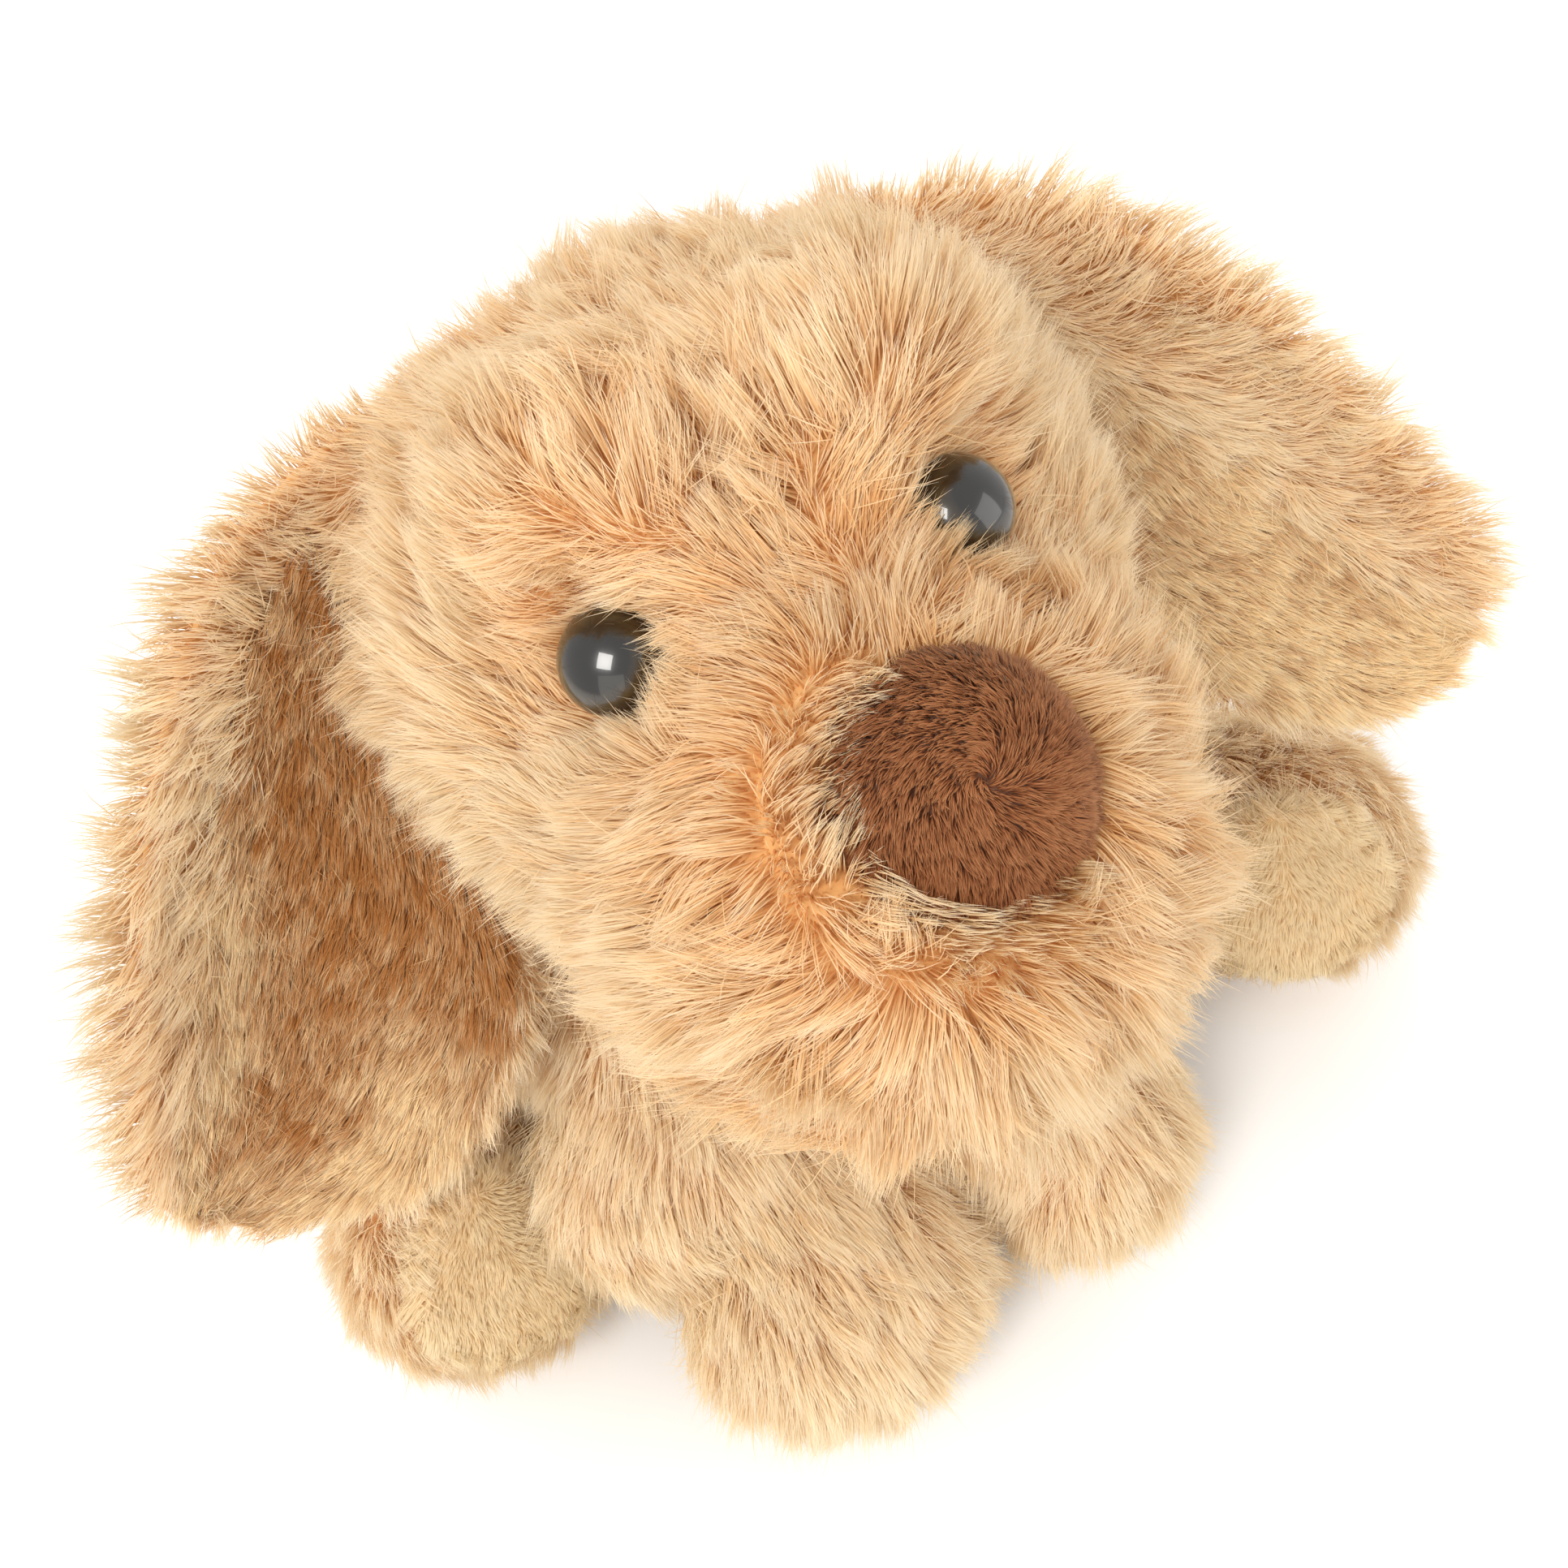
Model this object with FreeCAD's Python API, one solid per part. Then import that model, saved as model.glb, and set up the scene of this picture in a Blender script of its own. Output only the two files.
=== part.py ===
import FreeCAD, Part
import math
import os

os.makedirs("parts", exist_ok=True)

V = FreeCAD.Vector
Rot = FreeCAD.Rotation

# ---------------------------------------------------------------------------
# Sitting plush dog.  Millimetres.  The dog faces -Y, +X is its left side,
# +Z is up and the origin is the centre of the flat seat under the torso.
# Every fabric piece is the pressed thickness of knit backing plus pile root;
# the loose pile stands a few millimetres proud of these solids.
# ---------------------------------------------------------------------------

# fabric and gaps
SKIN_T = 6.0            # plush panel, backing and the dense root of the pile
FILL_GAP = 0.3          # stuffing to panel
JOINT_GAP = 0.5         # between bodies that move against each other

# torso
TORSO_LOW_C = (0.0, 0.0, 28.0)
TORSO_LOW_R = 43.0
TORSO_TOP_C = (0.0, -8.0, 58.0)
TORSO_TOP_R = 30.0
SEAT_PANEL_R = 29.0     # round seat panel, flat on the ground
CHEST_HALF_W = 17.0     # chest panel runs down the front between two seams
BAG_C = (0.0, 2.0, 33.0)
BAG_R = 23.0
BAG_T = 0.8
BAG_FLOOR_Z = 13.0

# neck
NECK_C = (0.0, -13.0, 86.0)
NECK_R = 22.0
NECK_T = 2.5

# head, built about its own centre and tipped back
HEAD_C = (0.0, -31.9, 129.8)
HEAD_TIP_DEG = 21.1
SKULL_R = 46.0
MUZZLE_C = (0.0, -37.0, -15.8)   # in the head's own frame
MUZZLE_R = 38.0
GUSSET_HALF_W = 18.0
FACE_SEAM_Y = 6.0       # ear-to-ear seam, behind the head's centre
MOUTH_PITCH_DEG = -6.0  # seam under the nose

# nose
NOSE_DIR = (0.055, -0.845, 0.53) # in the head's frame, from the muzzle centre
NOSE_BALL_R = 15.5
NOSE_BALL_OFF = 29.5
NOSE_T = 1.4

# eyes: 12 mm domed safety eyes with a shank and a locking washer
EYE_POS = (21.3, -39.0, 17.0)    # in the head's frame, middle of the dome's height
EYE_LOOK = (0.364, -0.764, 0.532)
EYE_SEAT_BACK = 3.2     # back of the eye's disc, behind that middle
EYE_DISH_WALL = 4.0     # pressed plush round and behind the eye, drawn in by the washer
EYE_R = 6.0
EYE_DOME_H = 4.6
EYE_BASE_T = 1.2
EYE_SHANK_R = 1.6
EYE_SHANK_L = 11.0
WASHER_R = 6.4
WASHER_T = 1.5

# ears: outer layer of long pile, lining of short pile, in the head's frame
EAR_AXIS_TOP = (34.0, 8.0, 40.0)
EAR_AXIS_LOW = (51.0, 7.5, 9.5)
EAR_OUT_T = 4.6
EAR_LINING_T = 1.8
EAR_LAYER_GAP = 0.3
# outer edge point, inner edge point, cup depth, edge curl
EAR_SECTIONS = [
    ((34.0, 8.0, 40.0), (51.0, 7.5, 9.5), 0.0, 0.0, 0.45),
    ((50.0, 5.5, 35.5), (53.5, 4.0, -8.0), 2.5, 1.5, 0.75),
    ((64.0, 2.5, 26.5), (56.5, 1.0, -24.0), 4.5, 3.0, 1.0),
    ((76.0, -0.5, 13.5), (62.0, -2.0, -39.0), 6.0, 4.0, 1.0),
    ((86.5, -2.5, -2.0), (69.5, -4.0, -49.5), 6.5, 4.5, 1.0),
    ((95.5, -4.5, -18.0), (78.0, -6.0, -55.0), 6.0, 4.0, 1.0),
    ((103.0, -6.5, -33.0), (88.0, -7.0, -57.0), 4.0, 3.0, 1.0),
    ((107.0, -7.5, -45.0), (98.0, -8.0, -55.0), 1.5, 1.0, 0.8),
]

# front legs
SHOULDER = (44.0, -31.0, 60.0)
SHOULDER_R = 19.0
PAW = (26.5, -80.0, 22.0)
PAW_R = 22.0
FRONT_LEG_T = 5.0

# hind legs
HIP = (48.0, 3.0, 21.0)
HIP_R = 19.0
FOOT = (85.0, -43.0, 25.0)
FOOT_R = 25.0
HIND_LEG_T = 5.0
SOLE_DIR = (-0.35, -0.78, 0.52)
SOLE_R = 17.5
SOLE_T = 1.6

# tail
TAIL_ROOT = (0.0, 47.0, 24.0)
TAIL_ROOT_R = 9.0
TAIL_TIP = (0.0, 62.0, 42.0)
TAIL_TIP_R = 7.0
TAIL_T = 4.0

# room left in the torso round each limb, so that it can swing
FRONT_WAY = 3.0
HIND_WAY = 2.2
TAIL_WAY = 1.4

BIG = 400.0


# ---------------------------------------------------------------------------
# helpers
# ---------------------------------------------------------------------------
def vec(p):
    return V(p[0], p[1], p[2])


def unit(p):
    v = vec(p)
    v.normalize()
    return v


def ball(c, r):
    s = Part.makeSphere(r)
    s.translate(vec(c))
    return s


def cyl(base, direction, r, h):
    return Part.makeCylinder(r, h, vec(base), vec(direction))


def rounded_cone(p0, r0, p1, r1):
    """Two balls and the cone that touches both, as one body of revolution."""
    a, b = vec(p0), vec(p1)
    d = b.sub(a)
    length = d.Length
    s = (r0 - r1) / length
    c = math.sqrt(1.0 - s * s)
    t0 = V(r0 * c, 0, r0 * s)
    t1 = V(r1 * c, 0, length + r1 * s)
    end0 = V(0, 0, -r0)
    end1 = V(0, 0, length + r1)
    a0 = (math.atan2(s, c) - math.pi / 2) / 2
    m0 = V(r0 * math.cos(a0), 0, r0 * math.sin(a0))
    a1 = (math.atan2(s, c) + math.pi / 2) / 2
    m1 = V(r1 * math.cos(a1), 0, length + r1 * math.sin(a1))
    wire = Part.Wire([
        Part.Arc(end0, m0, t0).toShape(),
        Part.LineSegment(t0, t1).toShape(),
        Part.Arc(t1, m1, end1).toShape(),
        Part.LineSegment(end1, end0).toShape(),
    ])
    solid = Part.Face(wire).revolve(V(0, 0, 0), V(0, 0, 1), 360)
    solid.Placement = FreeCAD.Placement(a, Rot(V(0, 0, 1), d))
    return solid


def half_space(point, normal):
    """A big block on the side of the plane that the normal points to."""
    box = Part.makeBox(BIG, BIG, BIG, V(-BIG / 2, -BIG / 2, 0))
    box.Placement = FreeCAD.Placement(vec(point), Rot(V(0, 0, 1), vec(normal)))
    return box


def slab(x0, x1):
    return Part.makeBox(x1 - x0, 2 * BIG, 2 * BIG, V(x0, -BIG, -BIG))


def cut(shape, *tools):
    for t in tools:
        shape = shape.cut(t)
    return shape


def solids_only(shape):
    """Keeps the pieces of real size and drops crumbs left at a cut's edge."""
    sol = sorted(shape.Solids, key=lambda s: -s.Volume)
    sol = [s for s in sol if s.Volume > 0.02 * sol[0].Volume]
    return sol[0] if len(sol) == 1 else Part.makeCompound(sol)


def mirrored(shape):
    return shape.mirror(V(0, 0, 0), V(1, 0, 0))


HEAD_PLACE = FreeCAD.Placement(vec(HEAD_C), Rot(V(1, 0, 0), -HEAD_TIP_DEG))


def to_world(p):
    return HEAD_PLACE.multVec(vec(p))


def head_place(shape):
    shape = shape.copy()
    shape.Placement = HEAD_PLACE.multiply(shape.Placement)
    return shape


NODES = {}


def put(name, shape):
    NODES[name] = solids_only(shape)


# ---------------------------------------------------------------------------
# torso: chest panel, two back panels, seat panel, stuffing and pellet bag
# ---------------------------------------------------------------------------
ground = half_space((0, 0, 0), (0, 0, 1))
torso_out = rounded_cone(TORSO_LOW_C, TORSO_LOW_R, TORSO_TOP_C, TORSO_TOP_R).common(ground)
torso_in = rounded_cone(TORSO_LOW_C, TORSO_LOW_R - SKIN_T, TORSO_TOP_C, TORSO_TOP_R - SKIN_T).common(
    half_space((0, 0, SKIN_T), (0, 0, 1)))
torso_fill = rounded_cone(TORSO_LOW_C, TORSO_LOW_R - SKIN_T - FILL_GAP, TORSO_TOP_C,
                          TORSO_TOP_R - SKIN_T - FILL_GAP).common(
    half_space((0, 0, SKIN_T + FILL_GAP), (0, 0, 1)))

sockets = [ball(NECK_C, NECK_R + JOINT_GAP)]
for clear, c0, r0, c1, r1 in (
        (FRONT_WAY, SHOULDER, SHOULDER_R, PAW, PAW_R),
        (HIND_WAY, HIP, HIP_R, FOOT, FOOT_R)):
    for sx in (1, -1):
        # the limb and the room it needs to swing
        sockets.append(rounded_cone((sx * c0[0], c0[1], c0[2]), r0 + clear,
                                    (sx * c1[0], c1[1], c1[2]), r1 + clear))
sockets.append(rounded_cone(TAIL_ROOT, TAIL_ROOT_R + TAIL_WAY, TAIL_TIP, TAIL_TIP_R + TAIL_WAY))

torso_skin = cut(torso_out.cut(torso_in), *sockets)
seat_tool = cyl((0, 0, -1), (0, 0, 1), SEAT_PANEL_R, SKIN_T + 1.0)
put("seat_panel", torso_skin.common(seat_tool))
torso_wall = torso_skin.cut(seat_tool)
chest_tool = Part.makeBox(2 * CHEST_HALF_W, 100, 200, V(-CHEST_HALF_W, -100, -10))
put("chest_panel", torso_wall.common(chest_tool))
torso_back = torso_wall.cut(chest_tool)
put("back_panel_left", torso_back.common(slab(0, BIG)))
put("back_panel_right", torso_back.common(slab(-BIG, 0)))

bag_out = ball(BAG_C, BAG_R).common(half_space((0, 0, BAG_FLOOR_Z), (0, 0, 1)))
bag_in = ball(BAG_C, BAG_R - BAG_T).common(half_space((0, 0, BAG_FLOOR_Z + BAG_T), (0, 0, 1)))
bag_void = ball(BAG_C, BAG_R + FILL_GAP).common(
    half_space((0, 0, BAG_FLOOR_Z - FILL_GAP), (0, 0, 1)))
pellets = ball(BAG_C, BAG_R - BAG_T - FILL_GAP).common(
    half_space((0, 0, BAG_FLOOR_Z + BAG_T + FILL_GAP), (0, 0, 1))).common(
    half_space((0, 0, BAG_C[2] + 11.0), (0, 0, -1)))
put("pellet_bag", bag_out.cut(bag_in))
put("pellets", pellets)
put("torso_stuffing", cut(torso_fill, bag_void, *sockets))

# ---------------------------------------------------------------------------
# neck: gathered ring of plush round a soft ball of fibre
# ---------------------------------------------------------------------------
neck_zone = Part.makeBox(80, 80, 26, V(-40, NECK_C[1] - 40, NECK_C[2] - 13))
put("neck_panel", ball(NECK_C, NECK_R).cut(ball(NECK_C, NECK_R - NECK_T)).common(neck_zone))
put("neck_stuffing", ball(NECK_C, NECK_R - NECK_T - FILL_GAP))

# ---------------------------------------------------------------------------
# head, in its own frame first
# ---------------------------------------------------------------------------
inv = HEAD_PLACE.inverse()
neck_in_head = inv.multVec(vec(NECK_C))
head_socket = Part.makeSphere(NECK_R + JOINT_GAP)
head_socket.translate(neck_in_head)

head_out = rounded_cone((0, 0, 0), SKULL_R, MUZZLE_C, MUZZLE_R)
head_in = rounded_cone((0, 0, 0), SKULL_R - SKIN_T, MUZZLE_C, MUZZLE_R - SKIN_T)
head_fill = rounded_cone((0, 0, 0), SKULL_R - SKIN_T - FILL_GAP, MUZZLE_C,
                         MUZZLE_R - SKIN_T - FILL_GAP)
head_skin = head_out.cut(head_in).cut(head_socket)
head_fill = head_fill.cut(head_socket)

# each eye is drawn into the face, so the panels dish in round it
eye_n = unit(EYE_LOOK)
seat = vec(EYE_POS).sub(V(eye_n).multiply(EYE_SEAT_BACK))     # back of the eye's disc


def at(point, normal, dist):
    return point.add(V(normal).multiply(dist))


def cap_dome(base, normal, r, h):
    """A domed lens: the part of a ball above a plane, r wide at the plane."""
    big = (r * r + h * h) / (2 * h)
    s = Part.makeSphere(big)
    s.translate(at(base, normal, h - big))
    return s.common(half_space(base, normal))


disc = cyl(seat, eye_n, EYE_R, EYE_BASE_T)
shank = cyl(at(seat, eye_n, -EYE_SHANK_L), eye_n, EYE_SHANK_R, EYE_SHANK_L)
eye_base = disc.fuse(shank)
eye_lens = cap_dome(at(seat, eye_n, EYE_BASE_T), eye_n, EYE_R, EYE_DOME_H)
washer_at = at(seat, eye_n, -EYE_DISH_WALL - 0.3 - WASHER_T)
washer = cyl(washer_at, eye_n, WASHER_R, WASHER_T).cut(
    cyl(at(washer_at, eye_n, -1), eye_n, EYE_SHANK_R, WASHER_T + 2))
eye_recess = cyl(seat, eye_n, EYE_R + 0.15, 30.0)
shank_hole = cyl(at(seat, eye_n, -EYE_SHANK_L - 1), eye_n, EYE_SHANK_R + 0.1, EYE_SHANK_L + 2)
dish = cyl(at(seat, eye_n, -EYE_DISH_WALL), eye_n, EYE_R + 0.15 + EYE_DISH_WALL, 16.0).common(head_out)
dish_room = cyl(at(seat, eye_n, -EYE_DISH_WALL - FILL_GAP), eye_n,
                EYE_R + 0.15 + EYE_DISH_WALL + FILL_GAP, 30.0)
washer_room = cyl(at(seat, eye_n, -EYE_SHANK_L - 0.5), eye_n, WASHER_R + 0.3,
                  EYE_SHANK_L + 0.5)
for t in (dish, mirrored(dish)):
    head_skin = head_skin.fuse(t)
head_skin = head_skin.removeSplitter()
eye_cuts = [eye_recess, shank_hole, mirrored(eye_recess), mirrored(shank_hole)]
for t in eye_cuts:
    head_skin = head_skin.cut(t)
# room in the fibre for the dish, the shank and the washer
for t in (dish_room, mirrored(dish_room), washer_room, mirrored(washer_room)):
    head_fill = head_fill.cut(t)

# the front of the head: two cheeks with a gusset between them, split at the mouth
front = head_skin.common(half_space((0, FACE_SEAM_Y, 0), (0, -1, 0)))
back = head_skin.common(half_space((0, FACE_SEAM_Y, 0), (0, 1, 0)))
gusset = front.common(slab(-GUSSET_HALF_W, GUSSET_HALF_W))
mouth = math.radians(MOUTH_PITCH_DEG)
mouth_n = (0.0, -math.sin(mouth), math.cos(mouth))
put("forehead_gusset", head_place(gusset.common(half_space(MUZZLE_C, mouth_n))))
put("chin_gusset", head_place(gusset.common(
    half_space(MUZZLE_C, (0.0, -mouth_n[1], -mouth_n[2])))))
put("cheek_left", head_place(front.common(slab(GUSSET_HALF_W, BIG))))
put("cheek_right", head_place(front.common(slab(-BIG, -GUSSET_HALF_W))))
put("head_back_left", head_place(back.common(slab(0, BIG))))
put("head_back_right", head_place(back.common(slab(-BIG, 0))))
put("head_stuffing", head_place(head_fill))

for side, fn in (("left", lambda s: s), ("right", mirrored)):
    put("eye_lens_" + side, head_place(fn(eye_lens)))
    put("eye_base_" + side, head_place(fn(eye_base)))
    put("eye_washer_" + side, head_place(fn(washer)))

# nose: a domed patch over its own pad of fibre
nd = unit(NOSE_DIR)
nose_c = at(vec(MUZZLE_C), nd, NOSE_BALL_OFF)
nose_ball = Part.makeSphere(NOSE_BALL_R)
nose_ball.translate(nose_c)
nose_pad = Part.makeSphere(NOSE_BALL_R - NOSE_T)
nose_pad.translate(nose_c)
nose_pad_gap = Part.makeSphere(NOSE_BALL_R - NOSE_T - 0.15)
nose_pad_gap.translate(nose_c)
nose_cap = nose_ball.cut(head_out)
put("nose_cover", head_place(nose_cap.cut(nose_pad)))
put("nose_stuffing", head_place(nose_pad_gap.cut(head_out)))


# ---------------------------------------------------------------------------
# ears: closed cross-sections from the seam on the head to the tip
# ---------------------------------------------------------------------------
def ear_section(a, b, cup, curl, thin, t0, t1, lo, hi, n=7):
    """One closed section: t runs from the outer edge to the inner edge."""
    a, b = vec(a), vec(b)
    pts_front, pts_back = [], []
    for i in range(n):
        k = i / (n - 1)
        t = t0 + (t1 - t0) * k
        p = V(a).multiply(1 - t).add(V(b).multiply(t))
        y = p.y + cup * 4 * t * (1 - t) - curl * (1 - t) ** 3
        ends = 0.35 + 0.65 * math.sqrt(max(0.0, 1 - (2 * k - 1) ** 4))
        mid = (lo + hi) / 2 * thin
        half = (hi - lo) / 2 * thin * ends
        pts_front.append(V(p.x, y + mid - half, p.z))
        pts_back.append(V(p.x, y + mid + half, p.z))
    loop = pts_front + pts_back[::-1]
    return Part.makePolygon(loop + [loop[0]])


def ear_layer(t0, t1, lo, hi, first, last):
    wires = [ear_section(*row, t0, t1, lo, hi) for row in EAR_SECTIONS[first:last]]
    return Part.makeLoft(wires, True, False)


ear_outer = ear_layer(0.0, 1.0, EAR_LAYER_GAP / 2, EAR_LAYER_GAP / 2 + EAR_OUT_T, 0, 8)
ear_lining = ear_layer(0.14, 0.96, -EAR_LAYER_GAP / 2 - EAR_LINING_T, -EAR_LAYER_GAP / 2, 1, 8)
for side, fn in (("left", lambda s: s), ("right", mirrored)):
    put("ear_outer_" + side, head_place(fn(ear_outer)))
    put("ear_lining_" + side, head_place(fn(ear_lining)))

# ---------------------------------------------------------------------------
# front legs: outer and inner panel over stuffing
# ---------------------------------------------------------------------------
leg_out = rounded_cone(SHOULDER, SHOULDER_R, PAW, PAW_R)
leg_in = rounded_cone(SHOULDER, SHOULDER_R - FRONT_LEG_T, PAW, PAW_R - FRONT_LEG_T)
leg_fill = rounded_cone(SHOULDER, SHOULDER_R - FRONT_LEG_T - FILL_GAP, PAW,
                        PAW_R - FRONT_LEG_T - FILL_GAP)
leg_dir = vec(PAW).sub(vec(SHOULDER))
side_n = leg_dir.cross(V(0, 0, 1)).multiply(-1)      # towards +X, level
if side_n.x < 0:
    side_n.multiply(-1)
side_n.normalize()
leg_skin = leg_out.cut(leg_in)
leg_outer = leg_skin.common(half_space(SHOULDER, side_n))
leg_inner = leg_skin.common(half_space(SHOULDER, V(side_n).multiply(-1)))
for side, fn in (("left", lambda s: s), ("right", mirrored)):
    put("front_leg_outer_" + side, fn(leg_outer))
    put("front_leg_inner_" + side, fn(leg_inner))
    put("front_leg_stuffing_" + side, fn(leg_fill))

# ---------------------------------------------------------------------------
# hind legs: upper and lower panel over stuffing, with a sole pad
# ---------------------------------------------------------------------------
hind_out = rounded_cone(HIP, HIP_R, FOOT, FOOT_R)
hind_in = rounded_cone(HIP, HIP_R - HIND_LEG_T, FOOT, FOOT_R - HIND_LEG_T)
hind_fill = rounded_cone(HIP, HIP_R - HIND_LEG_T - FILL_GAP, FOOT,
                         FOOT_R - HIND_LEG_T - FILL_GAP)
sd = unit(SOLE_DIR)
sole_ball = ball(FOOT, FOOT_R + SOLE_T)
sole_tool = cyl(FOOT, sd, SOLE_R, FOOT_R + 10)
sole = sole_ball.common(sole_tool).cut(hind_out)
hind_skin = hind_out.cut(hind_in)
hind_upper = hind_skin.common(half_space(HIP, (0, 0, 1)))
hind_lower = hind_skin.common(half_space(HIP, (0, 0, -1)))
for side, fn in (("left", lambda s: s), ("right", mirrored)):
    put("hind_leg_upper_" + side, fn(hind_upper))
    put("hind_leg_lower_" + side, fn(hind_lower))
    put("hind_leg_stuffing_" + side, fn(hind_fill))
    put("sole_pad_" + side, fn(sole))

# ---------------------------------------------------------------------------
# tail
# ---------------------------------------------------------------------------
tail_out = rounded_cone(TAIL_ROOT, TAIL_ROOT_R, TAIL_TIP, TAIL_TIP_R)
tail_in = rounded_cone(TAIL_ROOT, TAIL_ROOT_R - TAIL_T, TAIL_TIP, TAIL_TIP_R - TAIL_T)
tail_fill = rounded_cone(TAIL_ROOT, TAIL_ROOT_R - TAIL_T - FILL_GAP, TAIL_TIP,
                         TAIL_TIP_R - TAIL_T - FILL_GAP)
tail_skin = tail_out.cut(tail_in)
put("tail_panel_left", tail_skin.common(slab(0, BIG)))
put("tail_panel_right", tail_skin.common(slab(-BIG, 0)))
put("tail_stuffing", tail_fill)

# ---------------------------------------------------------------------------
total = None
for name in sorted(NODES):
    s = NODES[name]
    s.exportStep("parts/" + name + ".step")
    bb = s.BoundBox
    print("%-26s solids %d valid %s vol %9.1f  x %7.1f %7.1f y %7.1f %7.1f z %6.1f %6.1f" % (
        name, len(s.Solids), s.isValid(), s.Volume, bb.XMin, bb.XMax, bb.YMin, bb.YMax,
        bb.ZMin, bb.ZMax))
print(len(NODES), "nodes")
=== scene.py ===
import math

import bpy
import numpy as np
from mathutils import Matrix, Vector, kdtree


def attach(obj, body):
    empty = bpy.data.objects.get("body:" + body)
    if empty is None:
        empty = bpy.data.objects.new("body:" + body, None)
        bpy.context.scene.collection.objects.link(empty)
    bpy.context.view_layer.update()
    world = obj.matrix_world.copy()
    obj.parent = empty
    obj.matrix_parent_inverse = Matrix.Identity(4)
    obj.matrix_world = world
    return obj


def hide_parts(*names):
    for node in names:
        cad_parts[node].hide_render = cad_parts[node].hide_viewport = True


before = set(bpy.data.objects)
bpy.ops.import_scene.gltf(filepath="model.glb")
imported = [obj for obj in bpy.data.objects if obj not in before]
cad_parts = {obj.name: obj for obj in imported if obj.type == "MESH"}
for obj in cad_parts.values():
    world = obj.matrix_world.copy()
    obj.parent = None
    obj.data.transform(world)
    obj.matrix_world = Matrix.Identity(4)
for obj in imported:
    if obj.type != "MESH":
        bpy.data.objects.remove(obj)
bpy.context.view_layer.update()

DENSITY = 1.0
MM = 0.001

# ---------------------------------------------------------------------------
# camera first: the photograph looks down on the face from the front
# ---------------------------------------------------------------------------
AZ, EL, ROLL = math.radians(-8.9), math.radians(51.0), math.radians(-17.4)
CAM_DIST = 244.9
CAM_AIM = np.array((-0.3, -17.9, 73.3))
cam_back = np.array((math.sin(AZ) * math.cos(EL), -math.cos(AZ) * math.cos(EL), math.sin(EL)))
cam_right = np.cross(-cam_back, (0, 0, 1.0))
cam_right /= np.linalg.norm(cam_right)
cam_up = np.cross(cam_right, -cam_back)
cam_x = math.cos(ROLL) * cam_right + math.sin(ROLL) * cam_up
cam_y = -math.sin(ROLL) * cam_right + math.cos(ROLL) * cam_up
cam_pos = (CAM_AIM + cam_back * CAM_DIST) * MM
cam_data = bpy.data.cameras.new("camera")
cam_data.sensor_width = 36.0
cam_data.lens = 1760.0 / 1932.0 * 36.0
cam_data.clip_start = 0.005
cam_data.clip_end = 20.0
camera = bpy.data.objects.new("camera", cam_data)
bpy.context.scene.collection.objects.link(camera)
camera.matrix_world = Matrix((
    (cam_x[0], cam_y[0], cam_back[0], cam_pos[0]),
    (cam_x[1], cam_y[1], cam_back[1], cam_pos[1]),
    (cam_x[2], cam_y[2], cam_back[2], cam_pos[2]),
    (0, 0, 0, 1)))
bpy.context.scene.camera = camera

# ---------------------------------------------------------------------------
# the head's own frame, tipped back (millimetres here, metres in the meshes)
# ---------------------------------------------------------------------------
HEAD_C = np.array((0.0, -31.9, 129.8))
TIP = math.radians(-21.1)
HEAD_M = np.array(((1, 0, 0), (0, math.cos(TIP), -math.sin(TIP)), (0, math.sin(TIP), math.cos(TIP))))


def head_to_world(p):
    return np.asarray(p, float) @ HEAD_M.T + HEAD_C


def head_dir(d):
    return np.asarray(d, float) @ HEAD_M.T


EYE_AT = np.array((21.3, -39.0, 17.0))
EYE_LOOK = np.array((0.364, -0.764, 0.532))
NOSE_DIR = np.array((0.055, -0.845, 0.53)) / math.sqrt(0.055 ** 2 + 0.845 ** 2 + 0.53 ** 2)
MUZZLE_C = np.array((0.0, -35.4, -15.8))

# ---------------------------------------------------------------------------
# small maths helpers
# ---------------------------------------------------------------------------


def norm(v):
    return v / np.maximum(np.linalg.norm(v, axis=-1, keepdims=True), 1e-9)


def wob(p, size, seed, n=7):
    """Smooth noise, about -1 to 1, that changes over `size` millimetres."""
    r = np.random.default_rng(seed)
    k = norm(r.normal(size=(n, 3))) * (2 * math.pi / size) * r.uniform(0.6, 1.4, (n, 1)) * 0.5
    ph = r.uniform(0, 2 * math.pi, n)
    return np.sin(np.asarray(p) @ k.T + ph).sum(1) / math.sqrt(n / 2) * 0.6


def smin(a, b, k):
    h = np.clip(0.5 + 0.5 * (b - a) / k, 0, 1)
    return b * (1 - h) + a * h - k * h * (1 - h)


def smax(a, b, k):
    return -smin(-a, -b, k)


def ell(p, c, r):
    q = p - np.asarray(c, float)
    r = np.asarray(r, float)
    k0 = np.linalg.norm(q / r, axis=1)
    k1 = np.linalg.norm(q / (r * r), axis=1)
    return k0 * (k0 - 1) / np.maximum(k1, 1e-9)


def ball_sd(p, c, r):
    return np.linalg.norm(p - np.asarray(c, float), axis=1) - r


def cone_sd(p, a, ra, b, rb):
    a, b = np.asarray(a, float), np.asarray(b, float)
    d = b - a
    t = np.clip((p - a) @ d / (d @ d), 0, 1)
    return np.linalg.norm(p - a - t[:, None] * d, axis=1) - (ra + (rb - ra) * t)


def icosphere(level):
    import bmesh
    bm = bmesh.new()
    bmesh.ops.create_icosphere(bm, subdivisions=level, radius=1.0)
    v = np.array([x.co[:] for x in bm.verts])
    f = np.array([[x.index for x in q.verts] for q in bm.faces])
    bm.free()
    return norm(v), f


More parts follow.
